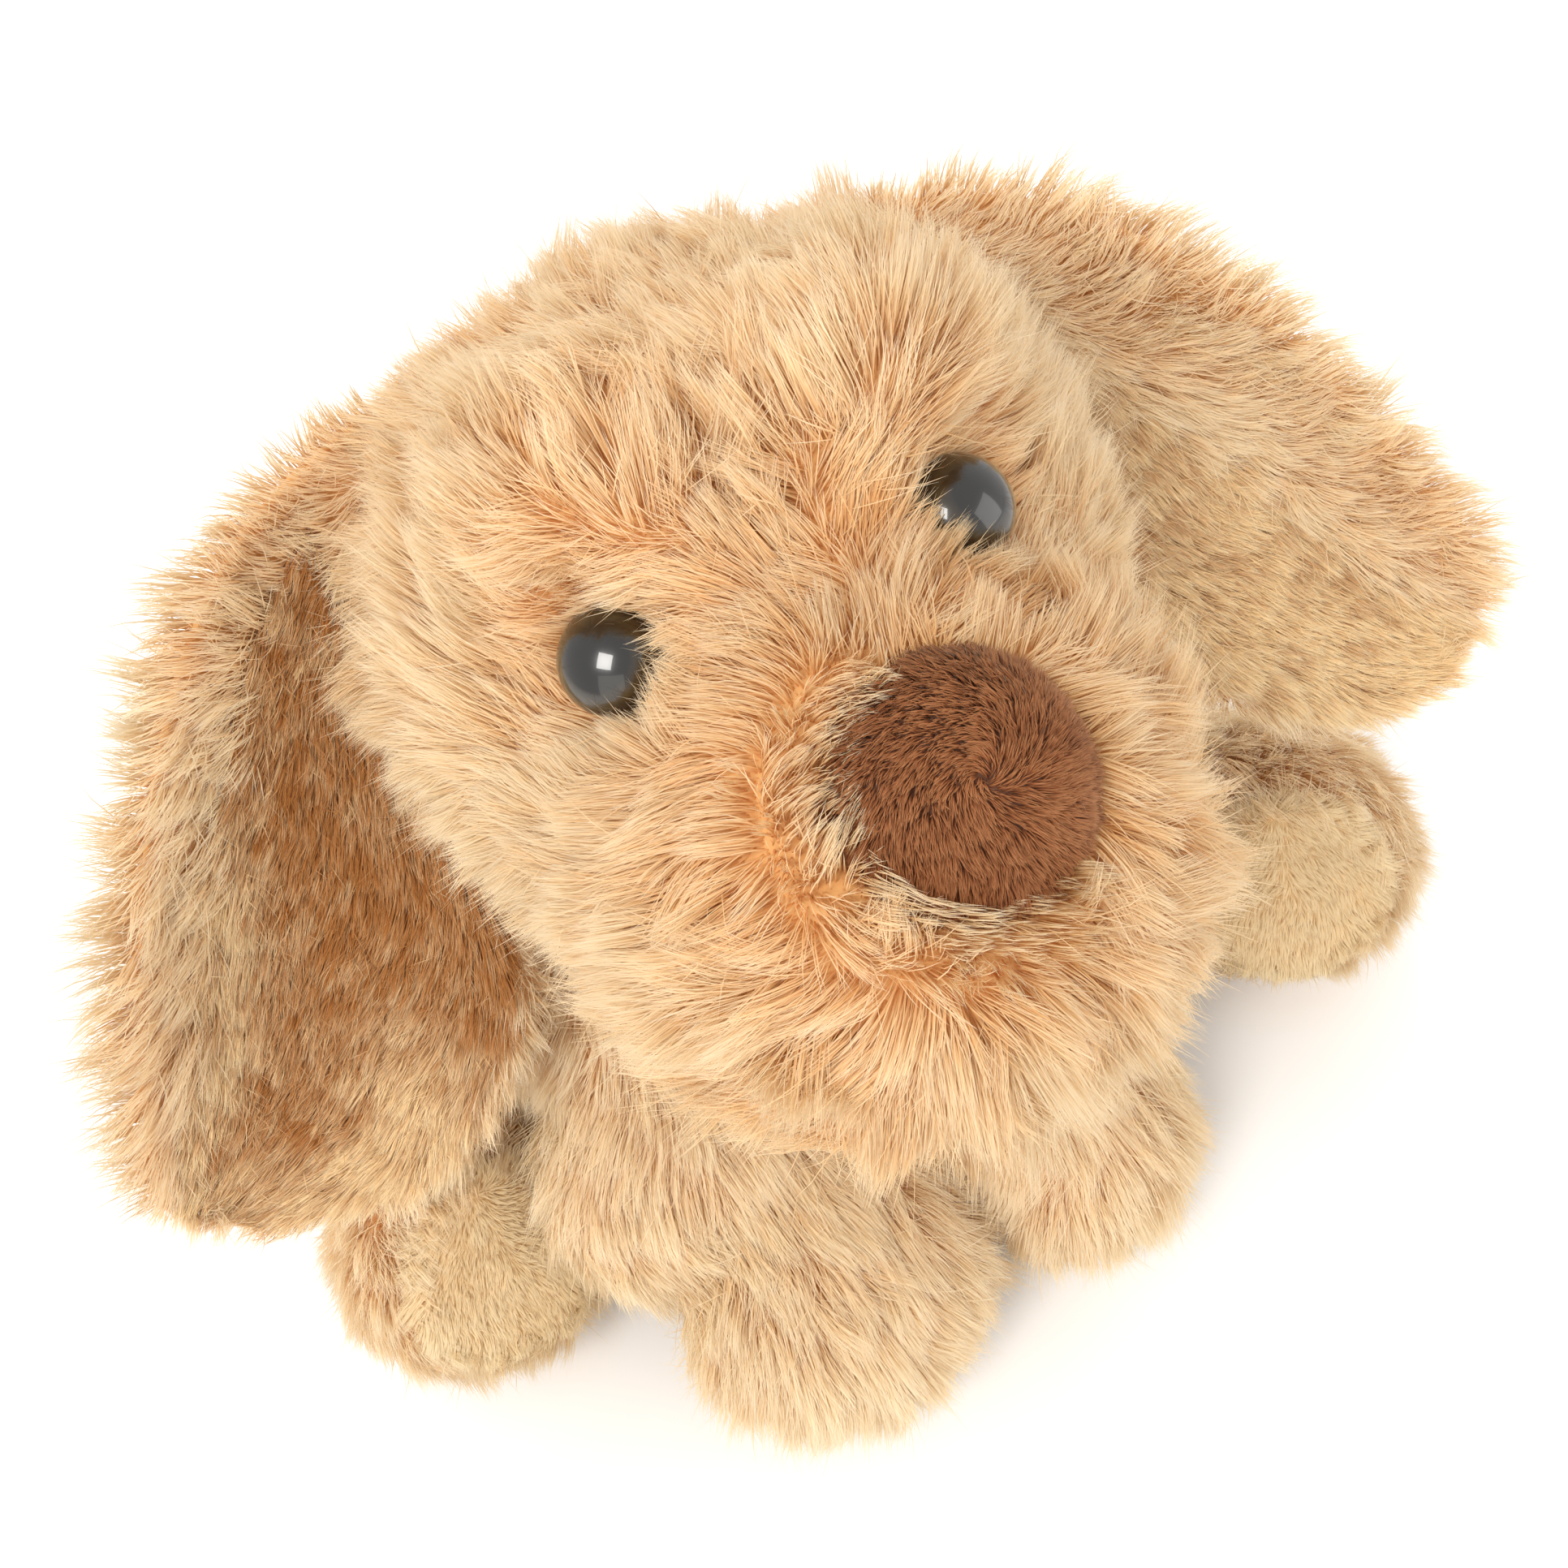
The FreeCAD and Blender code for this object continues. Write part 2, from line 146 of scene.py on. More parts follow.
def star(centre, sd, level, reach, place=None):
    """The surface where sd is zero, as seen from a point inside it."""
    d, f = icosphere(level)
    lo, hi = np.zeros(len(d)), np.full(len(d), float(reach))
    c = np.asarray(centre, float)
    for _ in range(22):
        m = (lo + hi) / 2
        inside = sd(c + d * m[:, None]) < 0
        lo, hi = np.where(inside, m, lo), np.where(inside, hi, m)
    v = c + d * ((lo + hi) / 2)[:, None]
    if place is not None:
        v = place(v)
    return v, f


def tris_of(f):
    out = []
    for q in f:
        for i in range(1, len(q) - 1):
            out.append((q[0], q[i], q[i + 1]))
    return np.array(out)


def outward(v, t):
    """Turn faces so that the closed mesh has positive volume."""
    vol = np.einsum("ij,ij->i", v[t[:, 0]], np.cross(v[t[:, 1]], v[t[:, 2]])).sum()
    return t if vol > 0 else t[:, ::-1]


def vertex_normals(v, f):
    n = np.zeros_like(v)
    for i in range(1, f.shape[1] - 1):
        fn = np.cross(v[f[:, i]] - v[f[:, 0]], v[f[:, i + 1]] - v[f[:, 0]])
        for k in (0, i, i + 1):
            np.add.at(n, f[:, k], fn)
    return norm(n)


def mesh_object(name, v, faces, smooth=True):
    me = bpy.data.meshes.new(name)
    me.from_pydata([tuple(x) for x in np.asarray(v) * MM], [], [tuple(int(i) for i in q) for q in faces])
    me.update()
    if smooth:
        me.polygons.foreach_set("use_smooth", [True] * len(me.polygons))
    ob = bpy.data.objects.new(name, me)
    bpy.context.scene.collection.objects.link(ob)
    return ob


# ---------------------------------------------------------------------------
# materials
# ---------------------------------------------------------------------------


def new_mat(name):
    m = bpy.data.materials.new(name)
    m.use_nodes = True
    nt = m.node_tree
    p = nt.nodes.get("Principled BSDF")
    out = nt.nodes.get("Material Output")
    return m, nt, p, out


def ramp(nt, source, stops):
    r = nt.nodes.new("ShaderNodeValToRGB")
    r.color_ramp.elements[0].position = stops[0][0]
    r.color_ramp.elements[0].color = (*stops[0][1], 1)
    r.color_ramp.elements[1].position = stops[-1][0]
    r.color_ramp.elements[1].color = (*stops[-1][1], 1)
    for pos, col in stops[1:-1]:
        e = r.color_ramp.elements.new(pos)
        e.color = (*col, 1)
    nt.links.new(source, r.inputs[0])
    return r.outputs[0]


def mix_rgb(nt, kind, fac, a, b):
    m = nt.nodes.new("ShaderNodeMix")
    m.data_type = "RGBA"
    m.blend_type = kind
    if isinstance(fac, (int, float)):
        m.inputs[0].default_value = fac
    else:
        nt.links.new(fac, m.inputs[0])
    for sock, x in ((m.inputs[6], a), (m.inputs[7], b)):
        if isinstance(x, tuple):
            sock.default_value = (*x, 1)
        else:
            nt.links.new(x, sock)
    return m.outputs[2]


def attr(nt, name):
    a = nt.nodes.new("ShaderNodeAttribute")
    a.attribute_name = name
    return a.outputs["Fac"]


def fur_material(name, light_stops, dark_stops, through=0.4, sheen=0.25, rough=0.75):
    """Pile: colour runs from the root to the tip of each strand, and between a light and a dark ramp by the tint: from
    lock to lock, and on the ear lining and the legs also as painted light and shade.
    """
    m, nt, p, out = new_mat(name)
    t = attr(nt, "along")
    a = ramp(nt, t, light_stops)
    b = ramp(nt, t, dark_stops)
    col = mix_rgb(nt, "MIX", attr(nt, "tint"), b, a)
    nt.links.new(col, p.inputs["Base Color"])
    p.inputs["Roughness"].default_value = rough
    p.inputs["Specular IOR Level"].default_value = 0.25
    p.inputs["Sheen Weight"].default_value = sheen
    p.inputs["Sheen Roughness"].default_value = 0.4
    p.inputs["Sheen Tint"].default_value = (1.0, 0.85, 0.65, 1)
    tr = nt.nodes.new("ShaderNodeBsdfTranslucent")
    nt.links.new(col, tr.inputs["Color"])
    ms = nt.nodes.new("ShaderNodeMixShader")
    ms.inputs[0].default_value = through
    nt.links.new(p.outputs[0], ms.inputs[1])
    nt.links.new(tr.outputs[0], ms.inputs[2])
    nt.links.new(ms.outputs[0], out.inputs["Surface"])
    return m


def backing_material(name, dark, light, knit=900.0):
    """Knitted backing under the pile."""
    m, nt, p, out = new_mat(name)
    co = nt.nodes.new("ShaderNodeTexCoord").outputs["Object"]
    n = nt.nodes.new("ShaderNodeTexNoise")
    n.inputs["Scale"].default_value = 160.0
    n.inputs["Detail"].default_value = 6.0
    nt.links.new(co, n.inputs["Vector"])
    w = nt.nodes.new("ShaderNodeTexVoronoi")
    w.inputs["Scale"].default_value = knit
    nt.links.new(co, w.inputs["Vector"])
    col = ramp(nt, n.outputs["Fac"], [(0.3, dark), (0.7, light)])
    nt.links.new(col, p.inputs["Base Color"])
    p.inputs["Roughness"].default_value = 0.95
    p.inputs["Sheen Weight"].default_value = 0.3
    bump = nt.nodes.new("ShaderNodeBump")
    bump.inputs["Strength"].default_value = 0.6
    bump.inputs["Distance"].default_value = 0.0004
    nt.links.new(w.outputs["Distance"], bump.inputs["Height"])
    nt.links.new(bump.outputs["Normal"], p.inputs["Normal"])
    return m


PLUSH = fur_material(
    "long_pile",
    [(0.0, (0.90, 0.54, 0.24)), (0.30, (0.97, 0.76, 0.47)), (0.65, (0.985, 0.86, 0.62)), (1.0, (0.99, 0.925, 0.77))],
    [(0.0, (0.72, 0.28, 0.06)), (0.30, (0.88, 0.53, 0.22)), (0.65, (0.94, 0.69, 0.39)), (1.0, (0.96, 0.80, 0.56))],
    through=0.45, sheen=0.15, rough=0.8)
# ear lining: the dark ramp is painted shade, for lining that lies in shadow beside the head, and the light ramp is the
# lit lining
LINING = fur_material(
    "ear_lining_pile",
    [(0.0, (0.72, 0.42, 0.18)), (0.5, (0.92, 0.68, 0.37)), (1.0, (0.98, 0.88, 0.62))],
    [(0.0, (0.30, 0.085, 0.014)), (0.5, (0.46, 0.175, 0.040)), (1.0, (0.62, 0.30, 0.095))], through=0.3, sheen=0.16)
SOLE = fur_material(
    "sole_pile",
    [(0.0, (0.92, 0.68, 0.38)), (0.5, (0.975, 0.82, 0.53)), (1.0, (0.99, 0.90, 0.69))],
    [(0.0, (0.86, 0.60, 0.30)), (0.5, (0.95, 0.75, 0.45)), (1.0, (0.975, 0.85, 0.60))], through=0.35, sheen=0.2)
NOSE = fur_material(
    "nose_pile",
    [(0.0, (0.18, 0.052, 0.016)), (0.5, (0.37, 0.130, 0.045)), (1.0, (0.58, 0.28, 0.122))],
    [(0.0, (0.11, 0.030, 0.009)), (0.5, (0.25, 0.079, 0.026)), (1.0, (0.42, 0.170, 0.066))], through=0.25, sheen=0.3)
BACKING = backing_material("plush_backing", (0.62, 0.32, 0.11), (0.76, 0.46, 0.19))
LINING_BACK = backing_material("lining_backing", (0.30, 0.14, 0.06), (0.42, 0.22, 0.10))
SOLE_BACK = backing_material("sole_backing", (0.70, 0.48, 0.24), (0.82, 0.60, 0.34))
NOSE_BACK = backing_material("nose_backing", (0.09, 0.035, 0.015), (0.14, 0.055, 0.028))


# ---------------------------------------------------------------------------
# pile
# ---------------------------------------------------------------------------
MAX_STRANDS = 38000       # strands in one piece


def scatter(v, f, per_mm2, seed, keep=None):
    """Random points on a mesh, evenly by area, with smooth normals."""
    rng = np.random.default_rng(seed)
    if f.shape[1] == 4:
        f = np.vstack([f[:, [0, 1, 2]], f[:, [0, 2, 3]]])
    vn = vertex_normals(v, f)
    a, b, c = v[f[:, 0]], v[f[:, 1]], v[f[:, 2]]
    area = np.linalg.norm(np.cross(b - a, c - a), axis=1) / 2
    n = int(area.sum() * per_mm2 * DENSITY)
    pick = rng.choice(len(f), n, p=area / area.sum())
    u = rng.random((n, 2))
    flip = u.sum(1) > 1
    u[flip] = 1 - u[flip]
    w = np.stack([1 - u.sum(1), u[:, 0], u[:, 1]], 1)
    p = a[pick] * w[:, :1] + b[pick] * w[:, 1:2] + c[pick] * w[:, 2:]
    nn = norm(vn[f[pick, 0]] * w[:, :1] + vn[f[pick, 1]] * w[:, 1:2] + vn[f[pick, 2]] * w[:, 2:])
    if keep is not None:
        k = rng.random(n) < np.broadcast_to(np.asarray(keep(p, nn), float), n)
        p, nn = p[k], nn[k]
    return p, nn


def smooth(x, a, b):
    t = np.clip((x - a) / (b - a), 0, 1)
    return t * t * (3 - 2 * t)


FACE_ON = norm(np.array(((-0.08, -0.66, 0.74),)))[0]


def thin_out(n, share, head=False):
    """Fewer, wider strands towards the back and underside: the share of roots that are kept."""
    d = n @ (FACE_ON @ HEAD_M if head else FACE_ON)
    return share + (1 - share) * smooth(d, -0.35, 0.05)


def nearest(p, centre, jitter, rng):
    """For each point, which of the chosen centres is nearest."""
    tree = kdtree.KDTree(len(centre))
    for i, k in enumerate(centre):
        tree.insert(p[k], i)
    tree.balance()
    find = tree.find
    q = p + rng.normal(0, jitter, p.shape)
    return np.fromiter((find(x)[1] for x in q), int, len(p))


def grow(p, n, flow, length, lean, area, seed, width=0.15, lock=5.0, wisp=1.15, gather=0.30, hold=0.6, stray=0.05,
         swirl=0.45, vary=0.20, tint=0.5, tint_vary=0.22, steps=3, floor=True, loose=0.20, round_off=0.22,
         soft=0.65):
    """Tapered ribbons rooted at p, leaning along flow by `lean` radians from the normal.
    Roots share a direction in tufts about `lock` mm wide, and gather into fine wisps `wisp` mm wide."""
    rng = np.random.default_rng(seed)
    m = len(p)
    if m == 0:
        return None
    length = np.broadcast_to(np.asarray(length, float), m).copy()
    lean = np.broadcast_to(np.asarray(lean, float), m).copy()
    tint = np.broadcast_to(np.asarray(tint, float), m).copy()
    flow = norm(flow - n * (flow * n).sum(1, keepdims=True))
    side = np.cross(n, flow)
    locks = int(max(1, min(m // 4, area / (lock * lock * 0.8))))
    wisps = int(max(1, min(m // 2, area / (wisp * wisp * 0.8))))
    centre = rng.choice(m, locks, replace=False)
    own = nearest(p, centre, lock * 0.10, rng)
    c = centre[own]
    loose = np.broadcast_to(np.asarray(loose, float), m)[centre]
    turn_lock = swirl * wob(p[centre], 30, seed + 1) + swirl * 0.6 * wob(p[centre], 12, seed + 2) \
        + rng.normal(0, 1, locks) * loose
    lean_lock = lean[centre] + rng.normal(0, 0.6, locks) * loose + 0.10 * wob(p[centre], 16, seed + 3)
    long_lock = 1 + rng.normal(0, 0.09, locks) + 0.07 * wob(p[centre], 22, seed + 4)

    def aim(nn, ff, ss, tt, ll):
        f = np.cos(tt)[:, None] * ff + np.sin(tt)[:, None] * ss
        return np.cos(ll)[:, None] * nn + np.sin(ll)[:, None] * f

    d_lock = aim(n[centre], flow[centre], side[centre], turn_lock, lean_lock)
    tip_lock = p[centre] + d_lock * (length[centre] * long_lock)[:, None]
    free = rng.random(m) < stray
    turn = turn_lock[own] + rng.normal(0, 0.14, m) + free * rng.normal(0, 0.6, m)
    ll = np.clip(lean_lock[own] + rng.normal(0, 0.07, m) - free * rng.uniform(0.0, 0.5, m), -0.3, 1.5)
    off = p - p[c]
    edge = np.clip(np.linalg.norm(off, axis=1) / (0.62 * lock), 0, 1)
    ln = length * long_lock[own] * (1 + rng.normal(0, vary * 0.4, m)) * (1 - vary * rng.random(m) ** 2) \
        * (1 - round_off * edge ** 2)
    ln = np.maximum(ln * (1 + 0.10 * free), 0.4)
    tip = p + aim(n, flow, side, turn, ll) * ln[:, None]
    target = tip_lock[own] + off * 0.55
    target = p + norm(target - p) * ln[:, None]
    g_ = gather * (1 - free)[:, None]
    tip = tip * (1 - g_) + target * g_
    # fine wisps
    wc = rng.choice(m, wisps, replace=False)
    w_own = nearest(p, wc, wisp * 0.12, rng)
    k = wc[w_own]
    pull = (hold * (1 - 0.9 * free) * rng.uniform(0.6, 1.15, m))[:, None]
    wt = tip[k] + (p - p[k]) * 0.22 + rng.normal(0, 0.10 * wisp, (m, 3))
    wt = p + norm(wt - p) * ln[:, None]
    tip = tip * (1 - pull) + wt * pull
    out_ = norm(tip - p - n * ((tip - p) * n).sum(1, keepdims=True))
    up = np.cos(ll * 0.5)[:, None] * n + np.sin(ll * 0.5)[:, None] * out_
    mid = p + up * (0.50 * ln)[:, None]
    mid += (p[k] - p) * (0.35 * pull)
    mid += rng.normal(0, 1, (m, 3)) * (0.03 * ln)[:, None]
    ts = np.linspace(0, 1, steps + 1)
    pts = [((1 - t) ** 2) * p + 2 * t * (1 - t) * mid + t * t * tip for t in ts]
    if floor:
        for q_i, q in enumerate(pts):
            low = 0.25 + 0.5 * (q_i / steps)
            under = q[:, 2] < low
            q[under, 2] = low
    tang = norm(tip - p)
    w0 = norm(np.cross(tang, n) + 1e-6)
    b0 = np.cross(w0, tang)
    spin = rng.uniform(-1.1, 1.1, m)
    wd = np.cos(spin)[:, None] * w0 + np.sin(spin)[:, None] * b0
    wid = width * rng.uniform(0.7, 1.3, m)
    prof = [1.0, 0.95, 0.62, 0.0] if steps == 3 else [1.0, 0.8, 0.0]
    face_n = np.cross(wd, tang)
    face_n = face_n * np.sign((face_n * n).sum(1, keepdims=True) + 1e-9)
    # the wide direction is signed so that every ribbon's front looks out of the fabric
    wd = wd * np.sign((np.cross(wd, tang) * n).sum(1, keepdims=True) + 1e-9)
    soft_n = norm(soft * norm(n + 0.35 * tang) + (1 - soft) * face_n)
    verts, along_v = [], []
    for q_i in range(steps):
        h = (wid * prof[q_i] / 2)[:, None] * wd
        verts += [pts[q_i] - h, pts[q_i] + h]
        along_v += [ts[q_i], ts[q_i]]
    verts.append(pts[steps])
    along_v.append(1.0)
    v = np.stack(verts, 1)                                   # m, 2*steps+1, 3
    tn = tint + rng.normal(0, tint_vary, locks)[own] * 0.6 + rng.normal(0, tint_vary, wisps)[w_own] * 0.6 \
        + rng.normal(0, tint_vary * 0.5, m)
    return {"v": v, "nor": soft_n, "along": np.array(along_v), "tint": np.clip(tn, 0, 1), "root": p, "steps": steps}


def turn_to_world(g):
    g["v"] = head_to_world(g["v"].reshape(-1, 3)).reshape(g["v"].shape)
    g["nor"] = head_dir(g["nor"])


COUNT = [0, 0]


def pile_object(name, g, keep, material, body):
    """One mesh of strands from the grown arrays."""
    v = g["v"][keep]
    m, k = v.shape[0], v.shape[1]
    steps = g["steps"]
    me = bpy.data.meshes.new(name)
    me.vertices.add(m * k)
    me.vertices.foreach_set("co", (v.reshape(-1) * MM).astype(np.float32))
    face = []
    for i in range(steps - 1):
        face.append([2 * i, 2 * i + 1, 2 * i + 3, 2 * i + 2])
    face.append([2 * steps - 2, 2 * steps - 1, 2 * steps])
    COUNT[0] += m
    COUNT[1] += m * (2 * steps - 1)
    flat = np.array([i for q in face for i in q])
    per = len(flat)
    loops = (flat[None, :] + (np.arange(m) * k)[:, None]).reshape(-1)
    sizes = np.array([len(q) for q in face])
    starts = np.concatenate([[0], np.cumsum(sizes)[:-1]])
    me.loops.add(m * per)
    me.loops.foreach_set("vertex_index", loops.astype(np.int32))
    me.polygons.add(m * len(face))
    me.polygons.foreach_set("loop_start", (starts[None, :] + (np.arange(m) * per)[:, None]).reshape(-1).astype(np.int32))
    me.update(calc_edges=True)
    me.polygons.foreach_set("use_smooth", np.ones(m * len(face), bool))
    along = np.broadcast_to(g["along"][None, :], (m, k)).reshape(-1)
    tint = np.repeat(g["tint"][keep], k)
    for nm, val in (("along", along), ("tint", tint)):
        a = me.attributes.new(nm, "FLOAT", "POINT")
        a.data.foreach_set("value", val.astype(np.float32))
    # a flat layout where each strand sits at its own colour, so a baked texture keeps the colours
    uv = me.uv_layers.new(name="OFBake")
    uvs = np.stack([0.02 + 0.96 * tint, 0.02 + 0.96 * along], 1)[loops]
    uv.data.foreach_set("uv", uvs.reshape(-1).astype(np.float32))
    me.materials.append(material)
    me.normals_split_custom_set_from_vertices(np.repeat(g["nor"][keep], k, axis=0).astype(np.float32))
    ob = bpy.data.objects.new(name, me)
    bpy.context.scene.collection.objects.link(ob)
    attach(ob, body)
    return ob


def piles(name, g, material, body, split=None):
    """Strands as one or more pieces, none over the size a piece may have."""
    if g is None:
        return []
    m = len(g["root"])
    groups = [(name, np.arange(m))]
    if split is not None:
        lab = split(g["root"])
        groups = [("%s_%s" % (name, s), np.flatnonzero(lab == s)) for s in sorted(set(lab))]
    out = []
    for nm, idx in groups:
        if len(idx) == 0:
            continue
        cap = MAX_STRANDS if g["steps"] == 3 else int(MAX_STRANDS * 5 / 3)
        parts = max(1, math.ceil(len(idx) / cap))
        for i in range(parts):
            sub = idx[i * len(idx) // parts:(i + 1) * len(idx) // parts]
            out.append(pile_object(nm if parts == 1 else "%s_%d" % (nm, i + 1), g, sub, material, body))
    return out


def skin(name, v, f, material, body, replaces=()):
    ob = mesh_object(name, v, f)
    ob.data.materials.append(material)
    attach(ob, body)
    if replaces:
        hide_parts(*replaces)
    return ob


def fibre_material():
    m, nt, p, out = new_mat("fibre_stuffing")
    co = nt.nodes.new("ShaderNodeTexCoord").outputs["Object"]
    n = nt.nodes.new("ShaderNodeTexNoise")
    n.inputs["Scale"].default_value = 90.0
    n.inputs["Detail"].default_value = 10.0
    n.inputs["Distortion"].default_value = 3.0
    nt.links.new(co, n.inputs["Vector"])
    nt.links.new(ramp(nt, n.outputs["Fac"], [(0.3, (0.72, 0.71, 0.68)), (0.7, (0.90, 0.89, 0.87))]),
                 p.inputs["Base Color"])
    p.inputs["Roughness"].default_value = 0.95
    p.inputs["Sheen Weight"].default_value = 0.4
    b = nt.nodes.new("ShaderNodeBump")
    b.inputs["Strength"].default_value = 0.9
    b.inputs["Distance"].default_value = 0.0015
    nt.links.new(n.outputs["Fac"], b.inputs["Height"])
    nt.links.new(b.outputs["Normal"], p.inputs["Normal"])
    return m


FIBRE = fibre_material()


def stuffing(name, centre, sd, reach, body, nodes, inset=1.6, place=None):
    """Loose fibre fill a little inside the cloth, with its lumps."""
    def inner(q):
        return sd(q) + inset + 0.35 * wob(q, 15, 71)
    v, f = star(centre, inner, 4, reach, place)
    ob = mesh_object(name, v, f)
    ob.data.materials.append(FIBRE)
    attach(ob, body)
    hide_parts(*nodes)
    return ob


# ---------------------------------------------------------------------------
# head
# ---------------------------------------------------------------------------
NOSE_AT = np.array((2.3, -37.0, -16.4)) + NOSE_DIR * 29.5       # centre of the nose's own ball
NOSE_R = 13.3


def head_sd(p):
    d = smin(ell(p, (0, 0, 0), (44.5, 41.5, 44.0)), ell(p, MUZZLE_C, (33.5, 38.5, 33.0)), 11.0)
    brow = smin(ball_sd(p, (13, -27, 27), 15.0), ball_sd(p, (-13, -27, 27), 15.0), 10.0)
    d = smin(d, brow, 9.0)
    for sx in (-1, 1):
        # the seam where the ear is sewn on, and the dish that the eye is drawn into
        d = smin(d, cone_sd(p, (27 * sx, 9, 34), 5.0, (43 * sx, 8, 8), 5.0), 8.0)
        e = EYE_AT * (sx, 1, 1)
        look = EYE_LOOK * (sx, 1, 1)
        d = smax(d, -cone_sd(p, e + look * 2.2, 8.4, e + look * 16, 13.0), 5.0)
    return d


hv, hf = star((0, -12, -4), head_sd, 6, 110)
head_skin = skin("head_backing", head_to_world(hv), hf, BACKING, "head",
                 replaces=("forehead_gusset", "chin_gusset", "cheek_left", "cheek_right", "head_back_left",
                           "head_back_right"))


stuffing("head_fill", (0, -12, -4), head_sd, 110, "head", ["head_stuffing"], place=head_to_world)


def head_keep(p, n):
    k = np.ones(len(p))
    for sx in (-1, 1):
        e = EYE_AT * (sx, 1, 1)
        look = EYE_LOOK * (sx, 1, 1)
        rel_ = p - e
        hh_ = rel_ @ look
        rr_ = np.linalg.norm(rel_ - hh_[:, None] * look, axis=1)
        k[(rr_ < 5.9) & (np.abs(hh_) < 14)] = 0
    nd = np.linalg.norm(p - NOSE_AT, axis=1)
    k[nd < NOSE_R - 1.2] = 0
    # under the neck nothing shows
    return k * thin_out(n, 0.45, True)


HEAD_PER = 8.0
p, n = scatter(hv, hf, HEAD_PER, 11, head_keep)
away = p - (MUZZLE_C + NOSE_DIR * 36)
flow = norm(away)
flow[:, 2] -= 0.30 * smooth(np.abs(p[:, 0]), 18, 42)
down = np.array((0, 0.05, -1.0))
back = smooth(p[:, 1], 2, 30)[:, None]
flow = flow * (1 - back) + down * back
eye_d = np.minimum(np.linalg.norm(p - EYE_AT, axis=1), np.linalg.norm(p - EYE_AT * (-1, 1, 1), axis=1))
nose_d = np.linalg.norm(p - NOSE_AT, axis=1)
length = 11.5 * (0.50 + 0.50 * smooth(eye_d, 7.0, 16.0))
near_nose = 1 - smooth(nose_d, 14.6, 21.5)
length *= 0.80 + 0.20 * smooth(nose_d, 17, 28)
length *= 1 - 0.22 * smooth(n @ (np.array((0, 0, 1.0)) @ HEAD_M), 0.72, 0.98)
lean = 0.95 - 0.20 * smooth(np.abs(p[:, 0]), 28, 46) + 0.08 * (1 - smooth(eye_d, 7, 14))
# round the nose the pile stands up and falls in over its rim, most of all on the side away from the tuft
to_nose = norm(NOSE_AT - p)
fold = near_nose * np.clip(0.75 + 0.9 * wob(p, 15, 17) - 0.42 * np.sign(p[:, 0] - 2), 0, 1.7)
flow = flow * (1 - np.clip(fold, 0, 1))[:, None] + to_nose * fold[:, None]
lean = lean * (1 - 0.45 * np.clip(fold, 0, 1))
wide = 0.15 / np.sqrt(thin_out(n, 0.45, True)) ** 1.3
cheek = smooth(np.abs(p[:, 0]), 20, 34) * (1 - smooth(p[:, 2], 20, 34))
ruffle = 0.46 - 0.30 * cheek
g = grow(p, n, flow, length, lean, len(p) / (HEAD_PER * DENSITY * 0.8), 100, width=wide,
         loose=ruffle, round_off=0.32, gather=0.42, swirl=0.65, lock=5.6,
         tint=0.33 + 0.10 * wob(p, 40, 7) + 0.12 * cheek - 0.30 * (1 - smooth(eye_d, 6.5, 10.5)), tint_vary=0.17,
         floor=False)


def head_part(q):
    lab = np.full(len(q), "side_left", dtype=object)
    lab[q[:, 0] < 0] = "side_right"
    bk = q[:, 1] > 6
    lab[bk & (q[:, 0] >= 0)] = "back_left"
    lab[bk & (q[:, 0] < 0)] = "back_right"
    mid = (np.abs(q[:, 0]) < 18) & (q[:, 1] <= 6)
    lab[mid & (q[:, 2] > -8)] = "forehead"
    lab[mid & (q[:, 2] <= -8)] = "chin"
    return lab


turn_to_world(g)
piles("head_pile", g, PLUSH, "head", head_part)

# a few fine hairs that cross the rim of each eye
rng = np.random.default_rng(913)
for side_name, sx in (("left", 1), ("right", -1)):
    e = EYE_AT * (sx, 1, 1)
    look = EYE_LOOK * (sx, 1, 1)
    ua = norm(np.cross(look, (0, 0, 1.0)))
    ub = np.cross(ua, look)
    th = rng.uniform(0, 2 * math.pi, 46)
    th = np.where(rng.random(46) < 0.7, rng.normal(3.9, 0.5, 46), th)
    ring = ua * np.cos(th)[:, None] + ub * np.sin(th)[:, None]
    p = e + ring * rng.uniform(6.6, 8.2, 46)[:, None] + look * rng.uniform(0.2, 1.6, 46)[:, None]
    g = grow(p, np.tile(look, (46, 1)), -ring + 0.7 * rng.normal(0, 1, (46, 3)), 5.2, 0.62, 90.0, 914 + sx, width=0.055,
             lock=2.0, wisp=0.8, gather=0.1, hold=0.1, stray=0.5, tint=0.6, floor=False)
    turn_to_world(g)
    piles("eye_hair_" + side_name, g, PLUSH, "head")

# nose
d, nf = icosphere(5)
nv = NOSE_AT + d * NOSE_R
nose_v = NOSE_AT + d * NOSE_R * (1 + 0.012 * wob(nv, 14, 41)[:, None])
skin("nose_cover_cloth", head_to_world(nose_v), nf, NOSE_BACK, "head",
     replaces=("nose_cover",))
stuffing("nose_fill", NOSE_AT, lambda q: ball_sd(q, NOSE_AT, NOSE_R), 40, "head", ["nose_stuffing"],
         place=head_to_world)
NOSE_PER = 30.0
p, n = scatter(nose_v, nf, NOSE_PER, 21, lambda q, nn: (q - NOSE_AT) @ NOSE_DIR > -1.0)
rel = p - NOSE_AT
swirl_flow = norm(np.cross(NOSE_DIR, rel - NOSE_DIR * 0)) * 0.9 + norm(rel - np.array((3, 0, 2))) * 0.6
g = grow(p, n, swirl_flow, 2.1, 0.80, len(p) / (NOSE_PER * DENSITY), 210, width=0.15, lock=1.6, wisp=0.45,
         hold=0.5, stray=0.05, swirl=0.8, tint=0.5 + 0.25 * wob(p, 9, 5), tint_vary=0.3, steps=2, floor=False)
turn_to_world(g)
piles("nose_pile", g, NOSE, "head")
